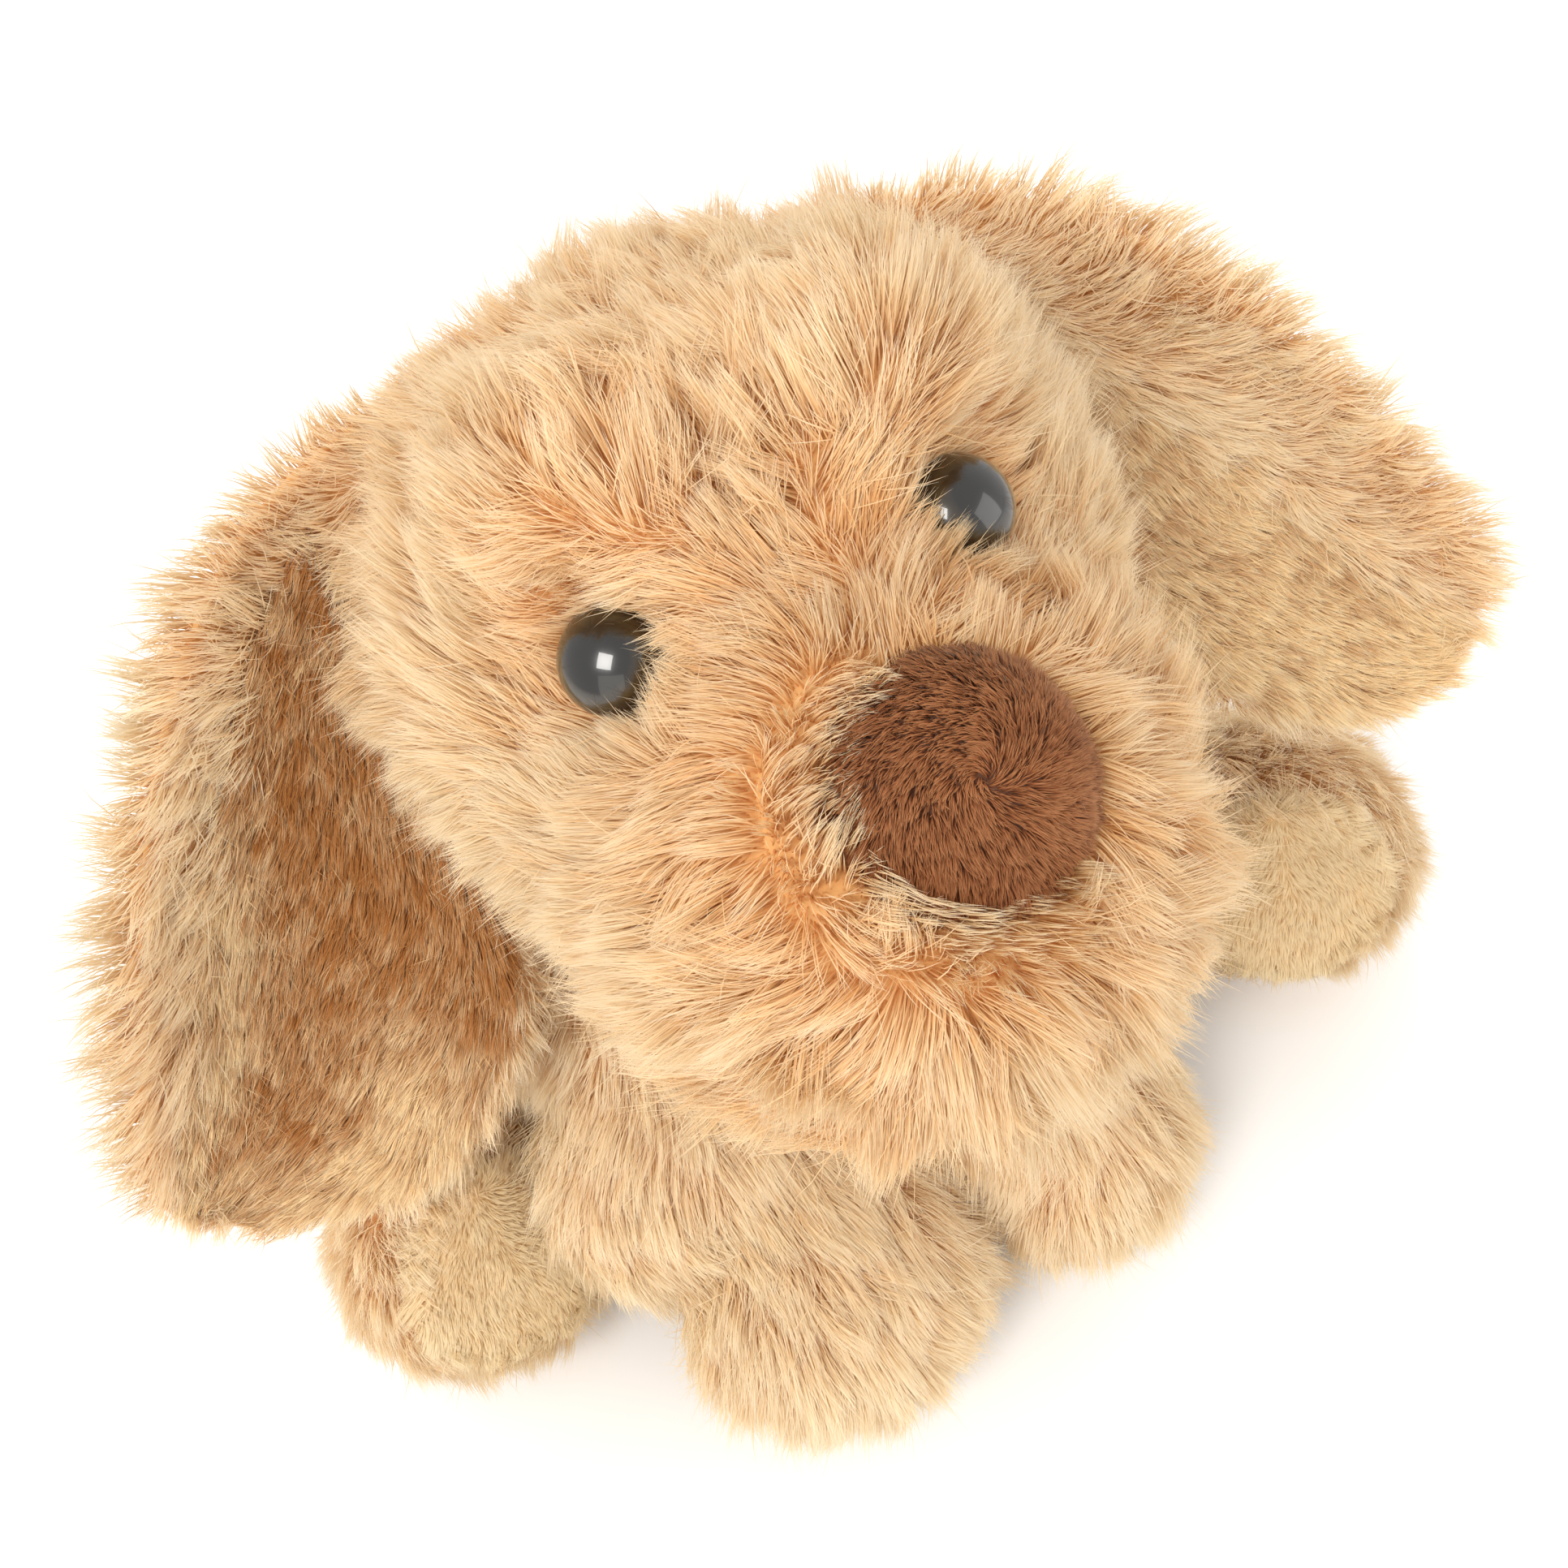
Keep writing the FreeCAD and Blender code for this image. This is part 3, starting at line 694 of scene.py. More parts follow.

# ---------------------------------------------------------------------------
# eyes: a polished opaque dome painted with a black pupil and a dark olive ring, on a dark base
# ---------------------------------------------------------------------------
def eye_frame(side_name, sx):
    """Centre of the eye's flat back and the way it looks, in the row frame."""
    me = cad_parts["eye_lens_" + side_name].data
    co = np.array([v.co[:] for v in me.vertices]) / MM
    tri = np.array([[q.vertices[0], q.vertices[1], q.vertices[2]] for q in me.polygons])
    nn = np.cross(co[tri[:, 1]] - co[tri[:, 0]], co[tri[:, 2]] - co[tri[:, 0]])
    # the flat back is the largest set of faces that look the same way
    un = norm(nn)
    area = np.linalg.norm(nn, axis=1)
    best, look = -1, None
    for i in np.argsort(-area)[:40]:
        tot = area[(un @ un[i]) > 0.9995].sum()
        if tot > best:
            best, look = tot, un[i]
    axis = -look
    h = co @ axis
    flat = co[h < h.min() + 0.05]
    c = (flat.min(0) + flat.max(0)) / 2
    c = c - axis * (c @ axis - h.min())
    r = np.linalg.norm(flat - c, axis=1).max()
    return c, axis, r, h.max() - h.min()


def lathe(profile, c, axis, n=64):
    """Rings of (radius, height) turned about axis through c."""
    ref = np.array((0, 0, 1.0))
    a = norm(np.cross(ref, axis))
    b = np.cross(axis, a)
    ph = np.linspace(0, 2 * math.pi, n, endpoint=False)
    v, f, rings = [], [], []
    for r, h in profile:
        if r < 1e-6:
            rings.append([len(v)])
            v.append(c + axis * h)
        else:
            rings.append(list(range(len(v), len(v) + n)))
            v += [c + axis * h + r * (math.cos(x) * a + math.sin(x) * b) for x in ph]
    for q, w in zip(rings[:-1], rings[1:]):
        for i in range(n):
            j = (i + 1) % n
            if len(q) == 1:
                f.append((q[0], w[i], w[j]))
            elif len(w) == 1:
                f.append((q[i], w[0], q[j]))
            else:
                f.append((q[i], w[i], w[j], q[j]))
    return np.array(v), f


def eye_material(name):
    """Black pupil and a dark olive ring under a polished dome."""
    m, nt, p, out = new_mat(name)
    co = nt.nodes.new("ShaderNodeTexCoord").outputs["Object"]
    n = nt.nodes.new("ShaderNodeTexNoise")
    n.inputs["Scale"].default_value = 900.0
    n.inputs["Detail"].default_value = 5.0
    nt.links.new(co, n.inputs["Vector"])
    col = ramp(nt, attr(nt, "radius"), [
        (0.0, (0.0015, 0.001, 0.001)), (0.56, (0.002, 0.0015, 0.001)), (0.62, (0.016, 0.010, 0.004)),
        (0.78, (0.040, 0.026, 0.009)), (0.90, (0.018, 0.010, 0.004)), (1.0, (0.003, 0.002, 0.0015))])
    col = mix_rgb(nt, "MULTIPLY", 1.0, col, ramp(nt, n.outputs["Fac"], [(0.3, (0.55, 0.55, 0.55)), (0.7, (1.0, 1.0, 1.0))]))
    nt.links.new(col, p.inputs["Base Color"])
    p.inputs["Roughness"].default_value = 0.22
    p.inputs["IOR"].default_value = 1.45
    p.inputs["Coat Weight"].default_value = 1.0
    p.inputs["Coat Roughness"].default_value = 0.02
    return m


def plastic_material(name, a, b, rough=0.35, scale=180.0, bump=0.15):
    m, nt, p, out = new_mat(name)
    co = nt.nodes.new("ShaderNodeTexCoord").outputs["Object"]
    n = nt.nodes.new("ShaderNodeTexNoise")
    n.inputs["Scale"].default_value = scale
    n.inputs["Detail"].default_value = 5.0
    nt.links.new(co, n.inputs["Vector"])
    nt.links.new(ramp(nt, n.outputs["Fac"], [(0.35, a), (0.65, b)]), p.inputs["Base Color"])
    rr = nt.nodes.new("ShaderNodeMapRange")
    rr.inputs["To Min"].default_value = rough * 0.8
    rr.inputs["To Max"].default_value = min(1.0, rough * 1.25)
    nt.links.new(n.outputs["Fac"], rr.inputs["Value"])
    nt.links.new(rr.outputs[0], p.inputs["Roughness"])
    bp = nt.nodes.new("ShaderNodeBump")
    bp.inputs["Strength"].default_value = bump
    bp.inputs["Distance"].default_value = 0.0002
    nt.links.new(n.outputs["Fac"], bp.inputs["Height"])
    nt.links.new(bp.outputs["Normal"], p.inputs["Normal"])
    return m


EYE_GLOSS = eye_material("eye_dome_gloss")
EYE_DARK = plastic_material("eye_base_plastic", (0.004, 0.003, 0.002), (0.010, 0.007, 0.004), 0.3)
for side_name, sx in (("left", 1), ("right", -1)):
    c, axis, r, high = eye_frame(side_name, sx)
    prof = [(0.0, 0.05)] + [(r * 0.97 * k / 6, 0.05) for k in range(1, 7)] + [(r * 0.995, 0.12), (r, 0.30)]
    for k in range(1, 40):
        ph = math.pi / 2 * k / 40
        prof.append((r * math.cos(ph), 0.30 + (high - 0.30) * math.sin(ph)))
    prof.append((0.0, high))
    v, f = lathe(prof, c, axis, 96)
    ob = mesh_object("eye_dome_" + side_name, v, outward(v, tris_of(f)))
    a = ob.data.attributes.new("radius", "FLOAT", "POINT")
    a.data.foreach_set("value", (np.linalg.norm(np.cross(v - c, axis), axis=1) / r).astype(np.float32))
    ob.data.materials.append(EYE_GLOSS)
    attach(ob, "head")
    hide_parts("eye_lens_" + side_name)

# ---------------------------------------------------------------------------
# ears
# ---------------------------------------------------------------------------
EAR_ROWS = (
    ((34, 8, 40), (49, 7.5, 8.5), 0, 0, 0.45), ((50, 5.5, 35.5), (49.5, 4, -9.5), 2.5, 1.5, 0.75),
    ((64, 2.5, 26.5), (52.0, 1, -25.5), 4.5, 3, 1), ((76, -0.5, 13.5), (59.5, -2, -40), 6, 4, 1),
    ((86.5, -2.5, -2), (69.5, -4, -49.5), 6.5, 4.5, 1), ((95.5, -4.5, -18), (78, -6, -55), 6, 4, 1),
    ((103, -6.5, -33), (88, -7, -57), 4, 3, 1), ((107, -7.5, -45), (98, -8, -55), 1.5, 1, 0.8))
ROWS = np.array([list(a) + list(b) + [c, k, th] for a, b, c, k, th in EAR_ROWS], float)


def row_at(s):
    """Catmull-Rom through the rows; s runs 0 to 7."""
    s = np.clip(np.asarray(s, float), 0, len(ROWS) - 1)
    i = np.minimum(np.floor(s).astype(int), len(ROWS) - 2)
    u = (s - i)[:, None]
    p0, p1 = ROWS[np.maximum(i - 1, 0)], ROWS[i]
    p2, p3 = ROWS[i + 1], ROWS[np.minimum(i + 2, len(ROWS) - 1)]
    return 0.5 * (2 * p1 + (p2 - p0) * u + (2 * p0 - 5 * p1 + 4 * p2 - p3) * u ** 2
                  + (3 * p1 - p0 - 3 * p2 + p3) * u ** 3)


EAR_FULL = [0.0]


def ear_mid(s, t):
    r = row_at(s)
    fuller = EAR_FULL[0] * smooth(np.asarray(s, float), 1.0, 3.0) * (1 - smooth(np.asarray(s, float), 5.0, 7.0))
    r[:, 3] -= 7.5 * fuller
    r[:, 5] -= 5.0 * fuller
    t = np.asarray(t, float)
    p = r[:, 0:3] * (1 - t)[:, None] + r[:, 3:6] * t[:, None]
    p[:, 1] += r[:, 6] * 4 * t * (1 - t) - r[:, 7] * (1 - t) ** 3
    return p, r[:, 8]


def ear_shell(ns, nphi, half, centre_off, s0=0.0, s1=7.0, t0=0.0, t1=1.0, pillow=0.0):
    """Closed lens-shaped shell about the ear's middle surface; faces are quads plus end caps."""
    v, st = [], []
    ss = np.linspace(s0, s1, ns)
    ph = np.linspace(0, 2 * math.pi, nphi, endpoint=False)
    for s in ss:
        t = t0 + (t1 - t0) * (0.5 - 0.5 * np.cos(ph))
        p, th = ear_mid(np.full(nphi, s), t)
        bulge = np.sin(ph)
        p[:, 1] += centre_off * th + half * th * np.sign(bulge) * np.abs(bulge) ** 0.6
        v.append(p)
        st.append(np.stack([np.full(nphi, s), t, bulge], 1))
    v, st = np.vstack(v), np.vstack(st)
    f = []
    for i in range(ns - 1):
        for j in range(nphi):
            k = (j + 1) % nphi
            f.append((i * nphi + j, i * nphi + k, (i + 1) * nphi + k, (i + 1) * nphi + j))
    # caps as strips across the section
    for i, flip in ((0, True), (ns - 1, False)):
        base = i * nphi
        for j in range(nphi // 2):
            a, b = base + j, base + (j + 1) % nphi
            c, d = base + (nphi - j - 1) % nphi, base + (nphi - j) % nphi
            q = [a, b, c, d]
            if len(set(q)) < 4:
                q = [x for n_, x in enumerate(q) if x not in q[:n_]]
            if len(q) >= 3:
                f.append(tuple(q[::-1]) if not flip else tuple(q))
    return v, f, st


EAR_PER = 7.0
LINE_PER = 13.0
for side_name, sx in (("left", 1), ("right", -1)):
    mir = np.array((sx, 1, 1.0))
    seed = 400 if sx > 0 else 500
    EAR_FULL[0] = 0.0 if sx > 0 else 1.0
    v, f, st = ear_shell(64, 48, 1.9, 2.3)
    tri = tris_of(f)
    v = v * mir
    tri = outward(v, tri)
    skin("ear_outer_cloth_" + side_name, head_to_world(v), tri, BACKING, side_name + "_ear",
         replaces=("ear_outer_" + side_name,))
    # roots with their place on the ear
    tree = kdtree.KDTree(len(v))
    for i, q in enumerate(v):
        tree.insert(q, i)
    tree.balance()
    p, n = scatter(v, tri, EAR_PER, seed, lambda q, nn: thin_out(nn, 0.5, True))
    near = np.fromiter((tree.find(q)[1] for q in p), int, len(p))
    s_, t_ = st[near, 0], st[near, 1]
    # directions on the ear: towards the tip, and out over each edge
    eps = 0.05
    pa = ear_mid(s_, t_)[0]
    along_s = norm(ear_mid(np.minimum(s_ + eps, 7), t_)[0] - ear_mid(np.maximum(s_ - eps, 0), t_)[0]) * mir
    across = norm(ear_mid(s_, np.minimum(t_ + eps, 1))[0] - ear_mid(s_, np.maximum(t_ - eps, 0))[0]) * mir
    front = n[:, 1] < -0.15
    out_a = 1 - smooth(t_, 0.0, 0.42)          # near the upper, outer edge
    out_b = smooth(t_, 0.72, 1.0)              # near the lower, inner edge
    flow = along_s * (0.75 + 0.5 * smooth(s_, 5.5, 7))[:, None] - across * (1.15 * out_a)[:, None] \
        + across * (0.8 * out_b)[:, None]
    fray = 0.035 * wob(p, 7, seed + 8) + 0.02 * np.sin(p[:, 0] * 5.1 + p[:, 2] * 3.7)
    covered = front & (t_ > (0.41 if sx > 0 else 0.20) + fray) & (t_ < 0.93 + fray) & (s_ > 0.9) & (s_ < 6.75)
    keep_ = ~covered
    p, n, flow, s_, t_, front = p[keep_], n[keep_], flow[keep_], s_[keep_], t_[keep_], front[keep_]
    edge = np.maximum(1 - smooth(t_, 0.0, 0.12), smooth(t_, 0.93, 1.0))
    length = 11.5 - 1.5 * smooth(s_, 4, 7) - 3.5 * smooth(t_, 0.7, 1.0) - 2.0 * (front & (t_ < 0.3))
    length *= (0.86 if sx > 0 else 1.0) * (0.62 + 0.38 * smooth(s_, 0.6, 2.2))
    lean = np.where(front, 1.05, 0.86) - 0.10 * edge
    g = grow(p, n, flow, length, lean, len(p) / (EAR_PER * DENSITY * 0.7), seed + 10,
             width=0.16 / np.sqrt(thin_out(n, 0.5, True)) ** 1.3, swirl=0.40, loose=0.26, stray=0.09,
             tint=0.72 + 0.12 * wob(p, 30, seed + 3), tint_vary=0.15, floor=False)
    turn_to_world(g)
    piles("ear_pile_" + side_name, g, PLUSH, side_name + "_ear")

    # lining
    # the pile wraps further over the front of the left ear
    v, f, st = ear_shell(60, 40, 0.95, -0.75, 0.8, 6.85, 0.36 if sx > 0 else 0.15, 0.96)
    tri = tris_of(f)
    v = v * mir
    tri = outward(v, tri)
    lin = skin("ear_lining_cloth_" + side_name, head_to_world(v), tri, LINING_BACK, side_name + "_ear",
               replaces=("ear_lining_" + side_name,))
    tree = kdtree.KDTree(len(v))
    for i, q in enumerate(v):
        tree.insert(q, i)
    tree.balance()
    p, n = scatter(v, tri, LINE_PER, seed + 20, lambda q, nn: nn[:, 1] < 0.1)
    near = np.fromiter((tree.find(q)[1] for q in p), int, len(p))
    s_, t_ = st[near, 0], st[near, 1]
    along_s = norm(ear_mid(np.minimum(s_ + eps, 7), t_)[0] - ear_mid(np.maximum(s_ - eps, 0), t_)[0]) * mir
    across = norm(ear_mid(s_, np.minimum(t_ + eps, 1))[0] - ear_mid(s_, np.maximum(t_ - eps, 0))[0]) * mir
    rim = smooth(t_, 0.78, 0.95) * smooth(s_, 1.5, 3.0)
    # painted light: the lining is made paler towards its tip and lower edge, where light reaches it, and on the right
    # ear also along its upper outer edge
    painted_light = np.maximum(smooth(t_, 0.50, 0.90) * smooth(s_, 3.0, 4.5), smooth(s_, 5.2, 6.6))
    if sx < 0:
        painted_light = np.maximum(painted_light, (1 - smooth(t_, 0.22, 0.42)) * smooth(s_, 2.5, 4.0))
    flow = along_s + across * (0.10 + 0.9 * rim)[:, None] * 0.6
    # the right ear's lining is mixed far darker (tint 0.16 against 0.80 on the left): painted shade, as that lining
    # lies in shadow beside the head; the mask above lifts its lit parts
    g = grow(p, n, flow, 5.0 + 1.5 * rim, 1.25 - 0.25 * rim, len(p) / (LINE_PER * DENSITY), seed + 30, width=0.13,
             lock=3.0, wisp=0.8, hold=0.55, stray=0.05, swirl=0.16, loose=0.08, tint=(0.80 if sx > 0 else 0.16) + 0.14 * wob(p, 26, seed + 5) + (0.25 if sx > 0 else 0.72) * painted_light,
             tint_vary=0.26, steps=2, floor=False)
    turn_to_world(g)
    piles("ear_lining_pile_" + side_name, g, LINING, side_name + "_ear")

# ---------------------------------------------------------------------------
# torso, neck, tail
# ---------------------------------------------------------------------------
BODY_PER = 3.6


def torso_sd(p):
    d = cone_sd(p, (0, 0, 28), 38.5, (0, -8, 58), 26.0)
    return smax(d, 1.2 - p[:, 2], 3.0)


tv, tf = star((0, -2, 36), torso_sd, 5, 90)
skin("torso_backing", tv, tf, BACKING, "torso",
     replaces=("seat_panel", "chest_panel", "back_panel_left", "back_panel_right"))
stuffing("torso_fill", (0, -2, 36), torso_sd, 90, "torso", ["torso_stuffing"])
p, n = scatter(tv, tf, BODY_PER, 31, lambda q, nn: (nn[:, 2] > -0.75))
flow = np.stack([0.25 * p[:, 0] / 40, 0.25 * p[:, 1] / 40, -np.ones(len(p))], 1)
under = smooth(-n[:, 2], 0.2, 0.8)[:, None]
flow = flow * (1 - under) + np.stack([p[:, 0] / 40, p[:, 1] / 40, np.zeros(len(p))], 1) * under
length = 10.5 - 5.0 * smooth(-n[:, 2], 0.3, 0.9)
g = grow(p, n, flow, length, 0.95, len(p) / (BODY_PER * DENSITY), 600, width=0.27, lock=5.0, wisp=1.6,
         tint=0.42 + 0.10 * wob(p, 40, 9), tint_vary=0.15)


def torso_part(q):
    lab = np.full(len(q), "back_left", dtype=object)
    lab[q[:, 0] < 0] = "back_right"
    lab[(q[:, 1] < -8) & (np.abs(q[:, 0]) < 17)] = "chest"
    return lab


piles("torso_pile", g, PLUSH, "torso", torso_part)

nkv, nkf = star((0, -13, 86), lambda q: ell(q, (0, -13, 86), (19.5, 19.5, 15.0)), 4, 40)
skin("neck_backing", nkv, nkf, BACKING, "neck", replaces=("neck_panel",))
stuffing("neck_fill", (0, -13, 86), lambda q: ell(q, (0, -13, 86), (19.5, 19.5, 15.0)), 40, "neck", ["neck_stuffing"])
p, n = scatter(nkv, nkf, BODY_PER, 33, lambda q, nn: np.abs(nn[:, 2]) < 0.75)
g = grow(p, n, np.tile((0, 0, -1.0), (len(p), 1)), 7.0, 0.95, len(p) / (BODY_PER * DENSITY), 640, width=0.27, wisp=1.6)
piles("neck_pile", g, PLUSH, "neck")

TAIL_A, TAIL_B = np.array((0, 46.0, 24.0)), np.array((0, 62.0, 42.0))
tlv, tlf = star((0, 54, 33), lambda q: cone_sd(q, TAIL_A, 6.4, TAIL_B, 5.0), 4, 40)
skin("tail_backing", tlv, tlf, BACKING, "tail",
     replaces=("tail_panel_left", "tail_panel_right"))
stuffing("tail_fill", (0, 54, 33), lambda q: cone_sd(q, TAIL_A, 6.4, TAIL_B, 5.0), 40, "tail", ["tail_stuffing"])
p, n = scatter(tlv, tlf, BODY_PER * 1.3, 35)
g = grow(p, n, np.tile(TAIL_B - TAIL_A, (len(p), 1)), 9.0, 0.95, len(p) / (BODY_PER * 1.3 * DENSITY), 660,
         width=0.25, wisp=1.5)
piles("tail_pile", g, PLUSH, "tail")

# ---------------------------------------------------------------------------
# legs
# ---------------------------------------------------------------------------
LEG_PER = 6.6
for side_name, sx in (("left", 1), ("right", -1)):
    mir = np.array((sx, 1, 1.0))
    seed = 700 if sx > 0 else 800
    sh = np.array((44.0, -31.0, 60.0)) * mir
    full = 1.0 if sx < 0 else 0.0
    paw = np.array((21.0 + 6.0 * full, -73.0 - 6.5 * full, 20.5)) * mir
    wide_paw = (18.0 + 5.2 * full, 19.0 + 1.2 * full, 17.4 + 1.4 * full)

    def arm_sd(q):
        d = cone_sd(q, sh, 15.5, paw + np.array((0, 12, 6)), 15.0 + 2.5 * full)
        d = smin(d, ell(q, paw + np.array((0, 0.5, 0)), wide_paw), 10.0)
        bulge = ball_sd(q, sh + (paw - sh) * 0.45 + np.array((9.0 * sx * full, -2, -4 * full)), 15.5 + 2.5 * full)
        d = smin(d, bulge, 9.0)
        return smax(d, 1.6 - q[:, 2], 3.0)

    v, f = star((sh + paw) / 2 + np.array((1.0 * sx, -1, -1)), arm_sd, 5, 80)
    skin("front_leg_backing_" + side_name, v, f, BACKING, side_name + "_front_leg",
         replaces=("front_leg_outer_" + side_name, "front_leg_inner_" + side_name))
    stuffing("front_leg_fill_" + side_name, (sh + paw) / 2 + np.array((1.0 * sx, -1, -1)), arm_sd, 80,
             side_name + "_front_leg", ["front_leg_stuffing_" + side_name])
    p, n = scatter(v, f, LEG_PER, seed, lambda q, nn: thin_out(nn, 0.45))
    ax = norm((paw - sh)[None, :])[0]
    h = (p - sh) @ ax
    flow = np.tile(ax, (len(p), 1)) + np.array((0, 0, -0.35))
    endw = smooth(h, 48, 68)[:, None]
    flow = flow * (1 - endw) + (np.array((0, -0.1, -1.0)) + 0.35 * norm(p - paw)) * endw
    low = smooth(-n[:, 2], 0.5, 0.95)
    length = (11.0 - 6.5 * low) * (0.55 + 0.45 * smooth(h, -16, 0))
    # painted light: the legs' pile is mixed paler than the head's (tint about 0.76 against 0.33) to make up, with the
    # low lamp, for the legs getting less light than the head
    g = grow(p, n, flow, length, 0.95 + 0.15 * low, len(p) / (LEG_PER * DENSITY * 0.75), seed + 10,
             width=0.165 / np.sqrt(thin_out(n, 0.45)) ** 1.3, tint=0.76 + 0.10 * wob(p, 32, seed + 3), tint_vary=0.15)
    piles("front_leg_pile_" + side_name, g, PLUSH, side_name + "_front_leg")

    # hind leg
    hip = np.array((48.0, 3.0, 21.0)) * mir
    foot = np.array((82.5, -42.5, 24.5)) * mir
    look = norm(np.array(((-0.35 * sx, -0.78, 0.52),)))[0]

    def leg_sd(q):
        d = cone_sd(q, hip, 16.0, hip + (foot - hip) * 0.6, 17.5)
        d = smin(d, ball_sd(q, foot, 21.5), 12.0)
        d = smax(d, (q - foot) @ look - 18.2, 4.0)
        return smax(d, 1.6 - q[:, 2], 3.0)

    v, f = star(hip + (foot - hip) * 0.62, leg_sd, 5, 90)
    skin("hind_leg_backing_" + side_name, v, f, BACKING, side_name + "_hind_leg",
         replaces=("hind_leg_upper_" + side_name, "hind_leg_lower_" + side_name))

    def on_pad(q):
        rel_ = q - foot
        hh = rel_ @ look
        rr_ = np.linalg.norm(rel_ - hh[:, None] * look, axis=1)
        return hh, rr_

    stuffing("hind_leg_fill_" + side_name, hip + (foot - hip) * 0.62, leg_sd, 90,
             side_name + "_hind_leg", ["hind_leg_stuffing_" + side_name])
    p, n = scatter(v, f, LEG_PER, seed + 20, lambda q, nn: thin_out(nn, 0.45))
    hh, rr = on_pad(p)
    keep_ = ~((hh > 13) & (rr < 13.5))
    p, n = p[keep_], n[keep_]
    hh, rr = on_pad(p)
    ax = norm((foot - hip)[None, :])[0]
    radial = norm(p - foot - hh[:, None] * look)
    h = (p - hip) @ ax
    flow = np.tile(ax, (len(p), 1)) + np.array((0, 0, -0.25))
    endw = smooth(h, 30, 52)[:, None]
    flow = flow * (1 - endw) + (look * 1.0 + radial * 0.15) * endw
    face = smooth(hh, 14.0, 17.0)[:, None]
    flow = flow * (1 - face) + radial * face
    low = smooth(-n[:, 2], 0.5, 0.95)
    length = (10.5 - 6.0 * low) * (0.6 + 0.4 * smooth(h, -14, 4)) * (1 - 0.25 * face[:, 0])
    # painted light: as on the front legs, this pile is mixed paler than the head's to make up for the legs getting less
    # light
    g = grow(p, n, flow, length, 0.95 + 0.15 * low, len(p) / (LEG_PER * DENSITY * 0.75), seed + 30,
             width=0.165 / np.sqrt(thin_out(n, 0.45)) ** 1.3, tint=0.72 + 0.10 * wob(p, 32, seed + 6), tint_vary=0.15)
    piles("hind_leg_pile_" + side_name, g, PLUSH, side_name + "_hind_leg")

    # sole pad: a shallow cushion let into the foot
    prof = [(0.0, 20.3)]
    for k in range(1, 19):
        a = k / 18
        prof.append((17.0 * a, 20.3 - 1.1 * a ** 2.2 - 1.4 * max(0, (a - 0.8) / 0.2) ** 2))
    prof += [(16.6, 16.9), (12.0, 16.4), (0.0, 16.2)]
    v, f = lathe(prof, foot, look, 72)
    v = v + look * (0.35 * wob(v, 14, seed + 44))[:, None]
    tri = outward(v, tris_of([q[::-1] for q in f]))
    skin("sole_pad_cloth_" + side_name, v, tri, SOLE_BACK, side_name + "_hind_leg",
         replaces=("sole_pad_" + side_name,))
    SOLE_PER = 18.0
    p, n = scatter(v, tri, SOLE_PER, seed + 50, lambda q, nn: nn @ look > 0.1)
    rel_ = p - foot
    rr = np.linalg.norm(rel_ - (rel_ @ look)[:, None] * look, axis=1)
    rad_dir = norm(rel_ - (rel_ @ look)[:, None] * look)
    flow = rad_dir * 0.5 + np.array((0.15 * sx, 0, -0.8))
    g = grow(p, n, flow, 2.6 + 1.4 * smooth(rr, 13, 17), 0.90, len(p) / (SOLE_PER * DENSITY), seed + 60, width=0.15,
             lock=2.6, wisp=0.7, hold=0.5, stray=0.04, swirl=0.5, tint=0.5 + 0.4 * smooth(rr, 12, 17) + 0.15 * wob(p, 12, seed + 7), tint_vary=0.2,
             steps=2)
    piles("sole_pile_" + side_name, g, SOLE, side_name + "_hind_leg")

# ---------------------------------------------------------------------------
# what is inside keeps its shape and gets its own finish
# ---------------------------------------------------------------------------


def weave_material(name, a, b_):
    m, nt, p, out = new_mat(name)
    co = nt.nodes.new("ShaderNodeTexCoord").outputs["Object"]
    w1 = nt.nodes.new("ShaderNodeTexWave")
    w1.inputs["Scale"].default_value = 300.0
    w1.bands_direction = "X"
    w2 = nt.nodes.new("ShaderNodeTexWave")
    w2.inputs["Scale"].default_value = 300.0
    w2.bands_direction = "Z"
    nt.links.new(co, w1.inputs["Vector"])
    nt.links.new(co, w2.inputs["Vector"])
    mx = nt.nodes.new("ShaderNodeMath")
    mx.operation = "MAXIMUM"
    nt.links.new(w1.outputs["Fac"], mx.inputs[0])
    nt.links.new(w2.outputs["Fac"], mx.inputs[1])
    nt.links.new(ramp(nt, mx.outputs[0], [(0.2, a), (0.9, b_)]), p.inputs["Base Color"])
    p.inputs["Roughness"].default_value = 0.9
    b = nt.nodes.new("ShaderNodeBump")
    b.inputs["Strength"].default_value = 0.5
    b.inputs["Distance"].default_value = 0.0003
    nt.links.new(mx.outputs[0], b.inputs["Height"])
    nt.links.new(b.outputs["Normal"], p.inputs["Normal"])
    return m


INNER = {"bag_cloth": weave_material("bag_cloth", (0.55, 0.52, 0.46), (0.74, 0.71, 0.65)),
         "pellet_plastic": plastic_material("pellet_plastic", (0.70, 0.71, 0.72), (0.82, 0.83, 0.84), 0.3),
         "washer_plastic": plastic_material("washer_plastic", (0.60, 0.60, 0.58), (0.72, 0.72, 0.70), 0.4)}
for name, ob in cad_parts.items():
    if ob.hide_render:
        continue
    if name == "pellet_bag":
        mat = INNER["bag_cloth"]
    elif name == "pellets":
        mat = INNER["pellet_plastic"]
    elif "washer" in name:
        mat = INNER["washer_plastic"]
    elif "eye_base" in name:
        mat = EYE_DARK
    else:
        raise RuntimeError("no finish for " + name)
    if len(ob.material_slots) == 0:
        ob.data.materials.append(mat)
    for sl in ob.material_slots:
        sl.material = mat
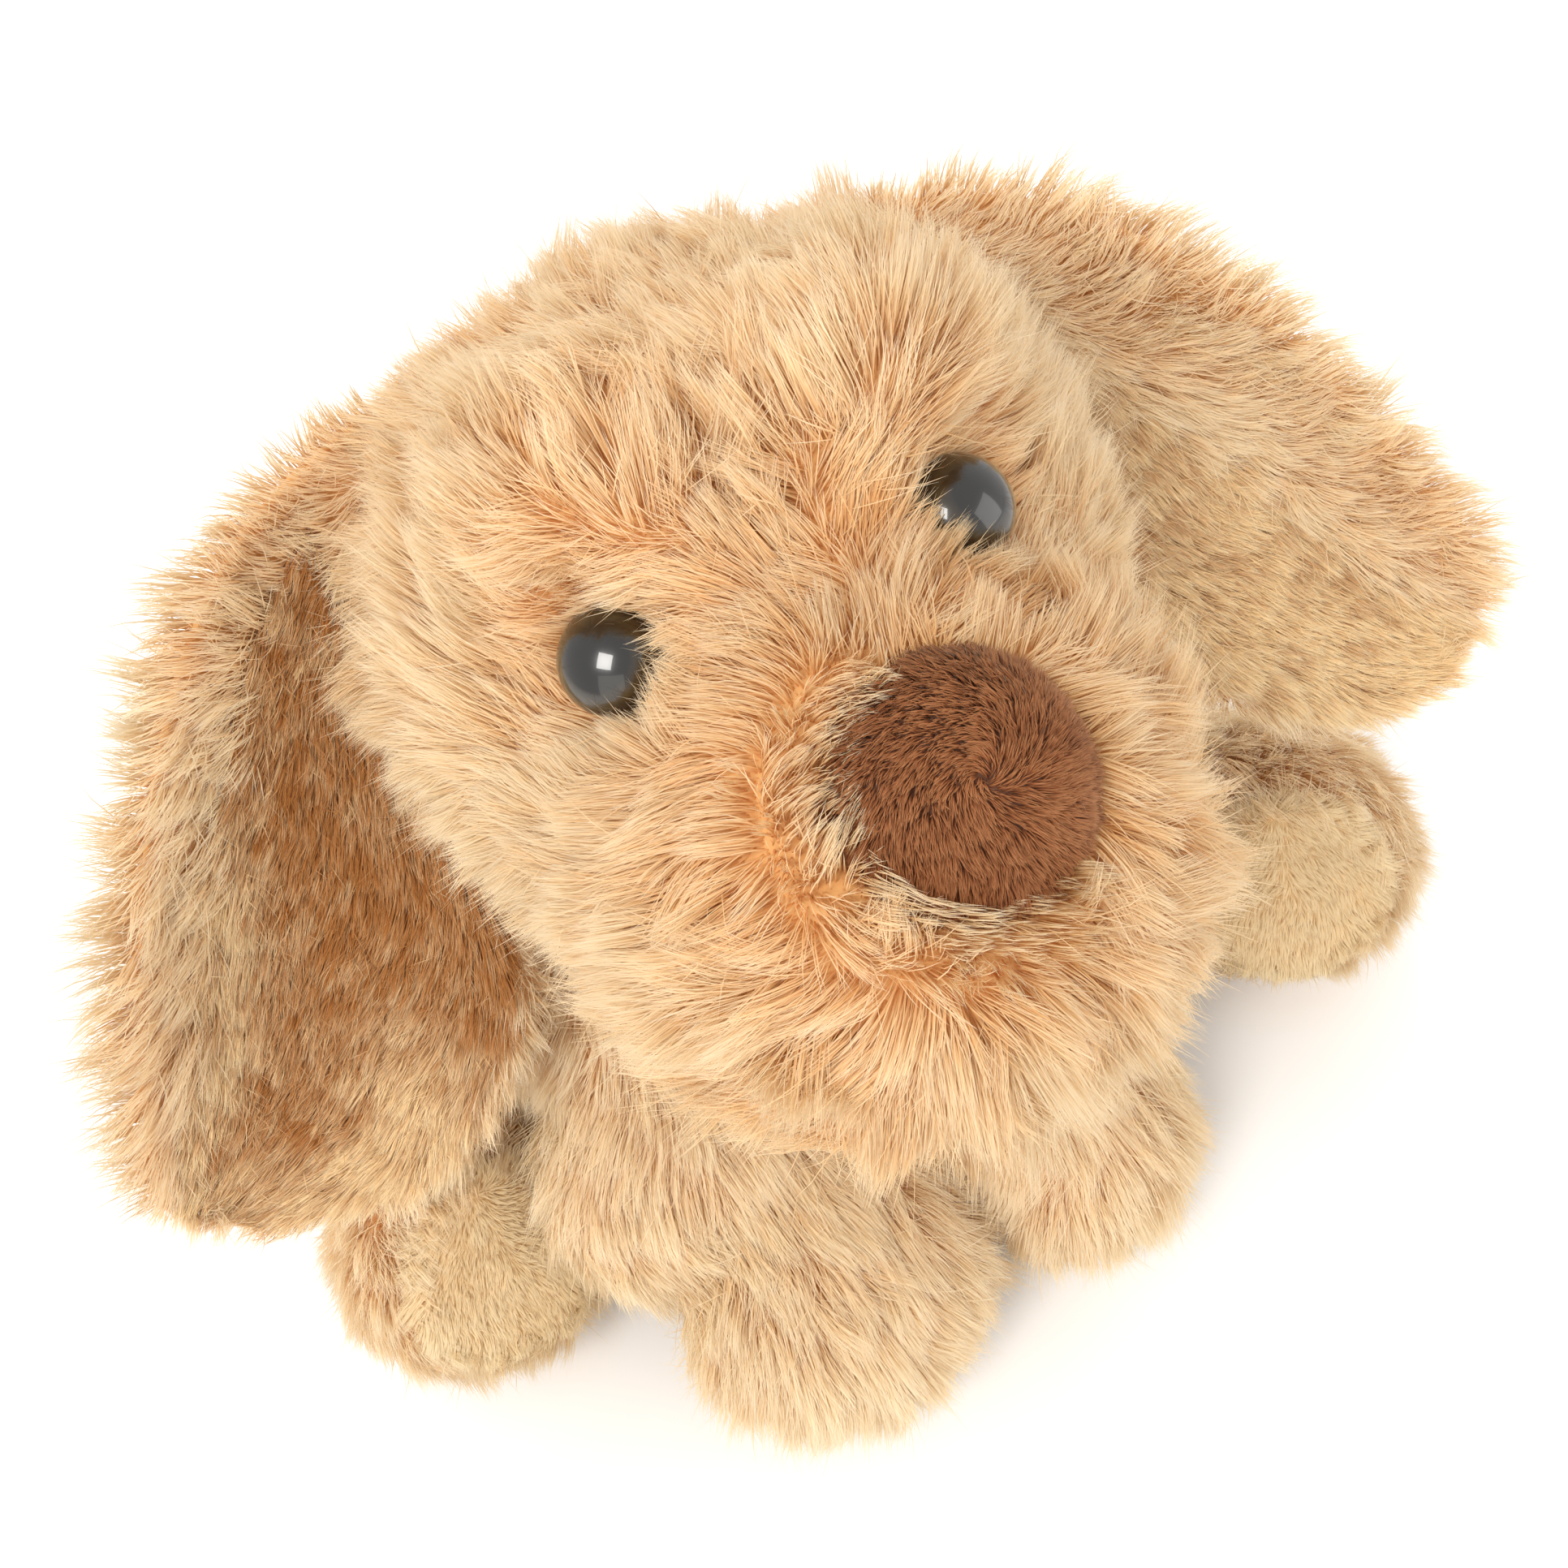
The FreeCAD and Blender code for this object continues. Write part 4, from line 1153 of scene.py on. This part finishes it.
# ---------------------------------------------------------------------------
# floor and light
# ---------------------------------------------------------------------------
me = bpy.data.meshes.new("floor")
S = 8.0
me.from_pydata([(-S, -S, 0), (S, -S, 0), (S, S, 0), (-S, S, 0)], [], [(0, 1, 2, 3)])
floor = bpy.data.objects.new("floor", me)
bpy.context.scene.collection.objects.link(floor)
m, nt, pb, out = new_mat("pale_floor")
n_ = nt.nodes.new("ShaderNodeTexNoise")
n_.inputs["Scale"].default_value = 6.0
co = nt.nodes.new("ShaderNodeTexCoord").outputs["Object"]
nt.links.new(co, n_.inputs["Vector"])
nt.links.new(ramp(nt, n_.outputs["Fac"], [(0.3, (0.90, 0.90, 0.90)), (0.7, (0.93, 0.93, 0.93))]), pb.inputs["Base Color"])
pb.inputs["Roughness"].default_value = 0.9
me.materials.append(m)

world = bpy.data.worlds.new("studio")
bpy.context.scene.world = world
world.use_nodes = True
bg = world.node_tree.nodes.get("Background")
bg.inputs["Color"].default_value = (1.0, 0.985, 0.965, 1)
bg.inputs["Strength"].default_value = 0.96


def area_light(name, at, aim_at, size, power, colour, shape="SQUARE"):
    d = bpy.data.lights.new(name, "AREA")
    d.shape = shape
    d.size = size
    d.energy = power
    d.color = colour
    o = bpy.data.objects.new(name, d)
    bpy.context.scene.collection.objects.link(o)
    o.location = at
    o.rotation_euler = (Vector(aim_at) - Vector(at)).to_track_quat("-Z", "Y").to_euler()
    return o


area_light("key", (-0.55, -0.55, 0.95), (0, -0.03, 0.09), 0.42, 7.0, (1.0, 0.97, 0.93))
area_light("fill", (0.9, -0.7, 0.45), (0, -0.03, 0.09), 0.8, 3.0, (1.0, 0.98, 0.95))
area_light("low", (-0.6, -0.95, 0.28), (0, -0.05, 0.05), 0.8, 1.8, (1.0, 0.93, 0.82))
area_light("rim", (0.2, 0.9, 0.8), (0, 0, 0.1), 0.7, 3.0, (1.0, 1.0, 1.0))
bpy.context.scene.view_settings.view_transform = "Standard"
bpy.context.scene.view_settings.look = "None"

print("STRANDS", COUNT)
